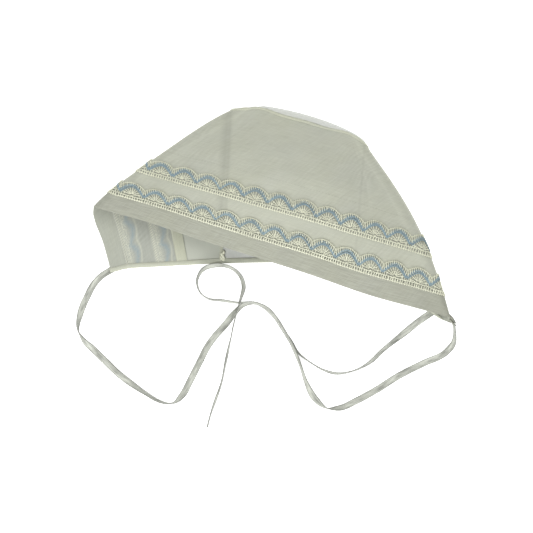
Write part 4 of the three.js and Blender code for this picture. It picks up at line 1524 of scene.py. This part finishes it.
def make_camera():
    """The camera, looking straight down on the table."""
    camera = bpy.data.cameras.new("camera")
    camera.sensor_width = SENSOR
    camera.lens = SENSOR * sizes().camera_height / sizes().view_width
    camera.clip_end = VIEW_DEPTH
    camera_object = bpy.data.objects.new("camera", camera)
    camera_object.location = (VIEW_CENTRE[0] * MM, VIEW_CENTRE[1] * MM, sizes().camera_height)
    bpy.context.scene.collection.objects.link(camera_object)
    bpy.context.scene.camera = camera_object


class BONNET_OT_camera(bpy.types.Operator):
    """Adds the camera straight over the table"""

    bl_idname = "bonnet.camera"
    bl_label = "Camera"

    def execute(self, context):
        make_camera()
        return {"FINISHED"}


class BONNET_OT_ties(bpy.types.Operator):
    """Lays the two satin ties along their routes"""

    bl_idname = "bonnet.ties"
    bl_label = "Ties"

    def execute(self, context):
        make_tie("tie_left", LEFT_ROUTE, 1.0)
        make_tie("tie_right", RIGHT_ROUTE, 0.8)
        return {"FINISHED"}


class BONNET_OT_back_panel(bpy.types.Operator):
    """Makes the back panel"""

    bl_idname = "bonnet.back_panel"
    bl_label = "Back panel"

    def execute(self, context):
        make_back_panel()
        return {"FINISHED"}


class BONNET_OT_crown_strip(bpy.types.Operator):
    """Makes the sheer strip over the head"""

    bl_idname = "bonnet.crown_strip"
    bl_label = "Crown strip"

    def execute(self, context):
        make_crown_cloth()
        return {"FINISHED"}


class BONNET_OT_bands(bpy.types.Operator):
    """Makes the front hem, the tuck, the back seam and the neck binding"""

    bl_idname = "bonnet.bands"
    bl_label = "Doubled bands"

    def execute(self, context):
        make_front_hem()
        make_tuck()
        make_back_seam()
        make_neck_binding()
        return {"FINISHED"}


class BONNET_OT_lace(bpy.types.Operator):
    """Makes the two rows of scalloped lace, thread by thread"""

    bl_idname = "bonnet.lace"
    bl_label = "Lace"

    def execute(self, context):
        for row in LACE_ROWS:
            make_lace(row)
        return {"FINISHED"}


class BONNET_OT_stitches(bpy.types.Operator):
    """Makes the stitches along the bands and the gathered cloth at the seam and the near corner"""

    bl_idname = "bonnet.stitches"
    bl_label = "Stitches"

    def execute(self, context):
        make_stitches()
        # The seam's gathers take the light cream of the lace thread, painted light where they lie in shade
        # under the hem
        gathers("seam_gathers", SEAM_GATHERS, "cream")
        gathers("corner_gathers", CORNER_GATHERS, "doubled")
        return {"FINISHED"}


class BONNET_OT_stage(bpy.types.Operator):
    """Adds the pale table and the soft studio light"""

    bl_idname = "bonnet.stage"
    bl_label = "Stage"

    def execute(self, context):
        make_floor()
        make_lights()
        bpy.context.scene.view_settings.view_transform = "Standard"
        return {"FINISHED"}


OPERATORS = (
    BONNET_OT_camera,
    BONNET_OT_ties,
    BONNET_OT_back_panel,
    BONNET_OT_crown_strip,
    BONNET_OT_bands,
    BONNET_OT_lace,
    BONNET_OT_stitches,
    BONNET_OT_stage,
)


class BONNET_PT_panel(bpy.types.Panel):
    """Lists the bonnet's sizes, colours and pieces"""

    bl_idname = "BONNET_PT_panel"
    bl_label = "Baby Bonnet"
    bl_space_type = "VIEW_3D"
    bl_region_type = "UI"
    bl_category = "Bonnet"

    def draw(self, context):
        layout = self.layout
        for group in (context.scene.bonnet_sizes, context.scene.bonnet_colours):
            for name in group.__annotations__:
                layout.prop(group, name)
        for operator in OPERATORS:
            layout.operator(operator.bl_idname)


CLASSES = (BonnetSizes, BonnetColours, *OPERATORS, BONNET_PT_panel)


def register():
    """Adds the classes, and their sizes and colours to the scene."""
    for cls in CLASSES:
        bpy.utils.register_class(cls)
    bpy.types.Scene.bonnet_sizes = bpy.props.PointerProperty(type=BonnetSizes)
    bpy.types.Scene.bonnet_colours = bpy.props.PointerProperty(type=BonnetColours)


def unregister():
    """Takes them away again."""
    del bpy.types.Scene.bonnet_colours
    del bpy.types.Scene.bonnet_sizes
    for cls in reversed(CLASSES):
        bpy.utils.unregister_class(cls)


def main():
    """Makes the bonnet and its stage, one operator after the other."""
    register()
    for operator in OPERATORS:
        area, name = operator.bl_idname.split(".")
        getattr(getattr(bpy.ops, area), name)()


if __name__ == "__main__":
    main()
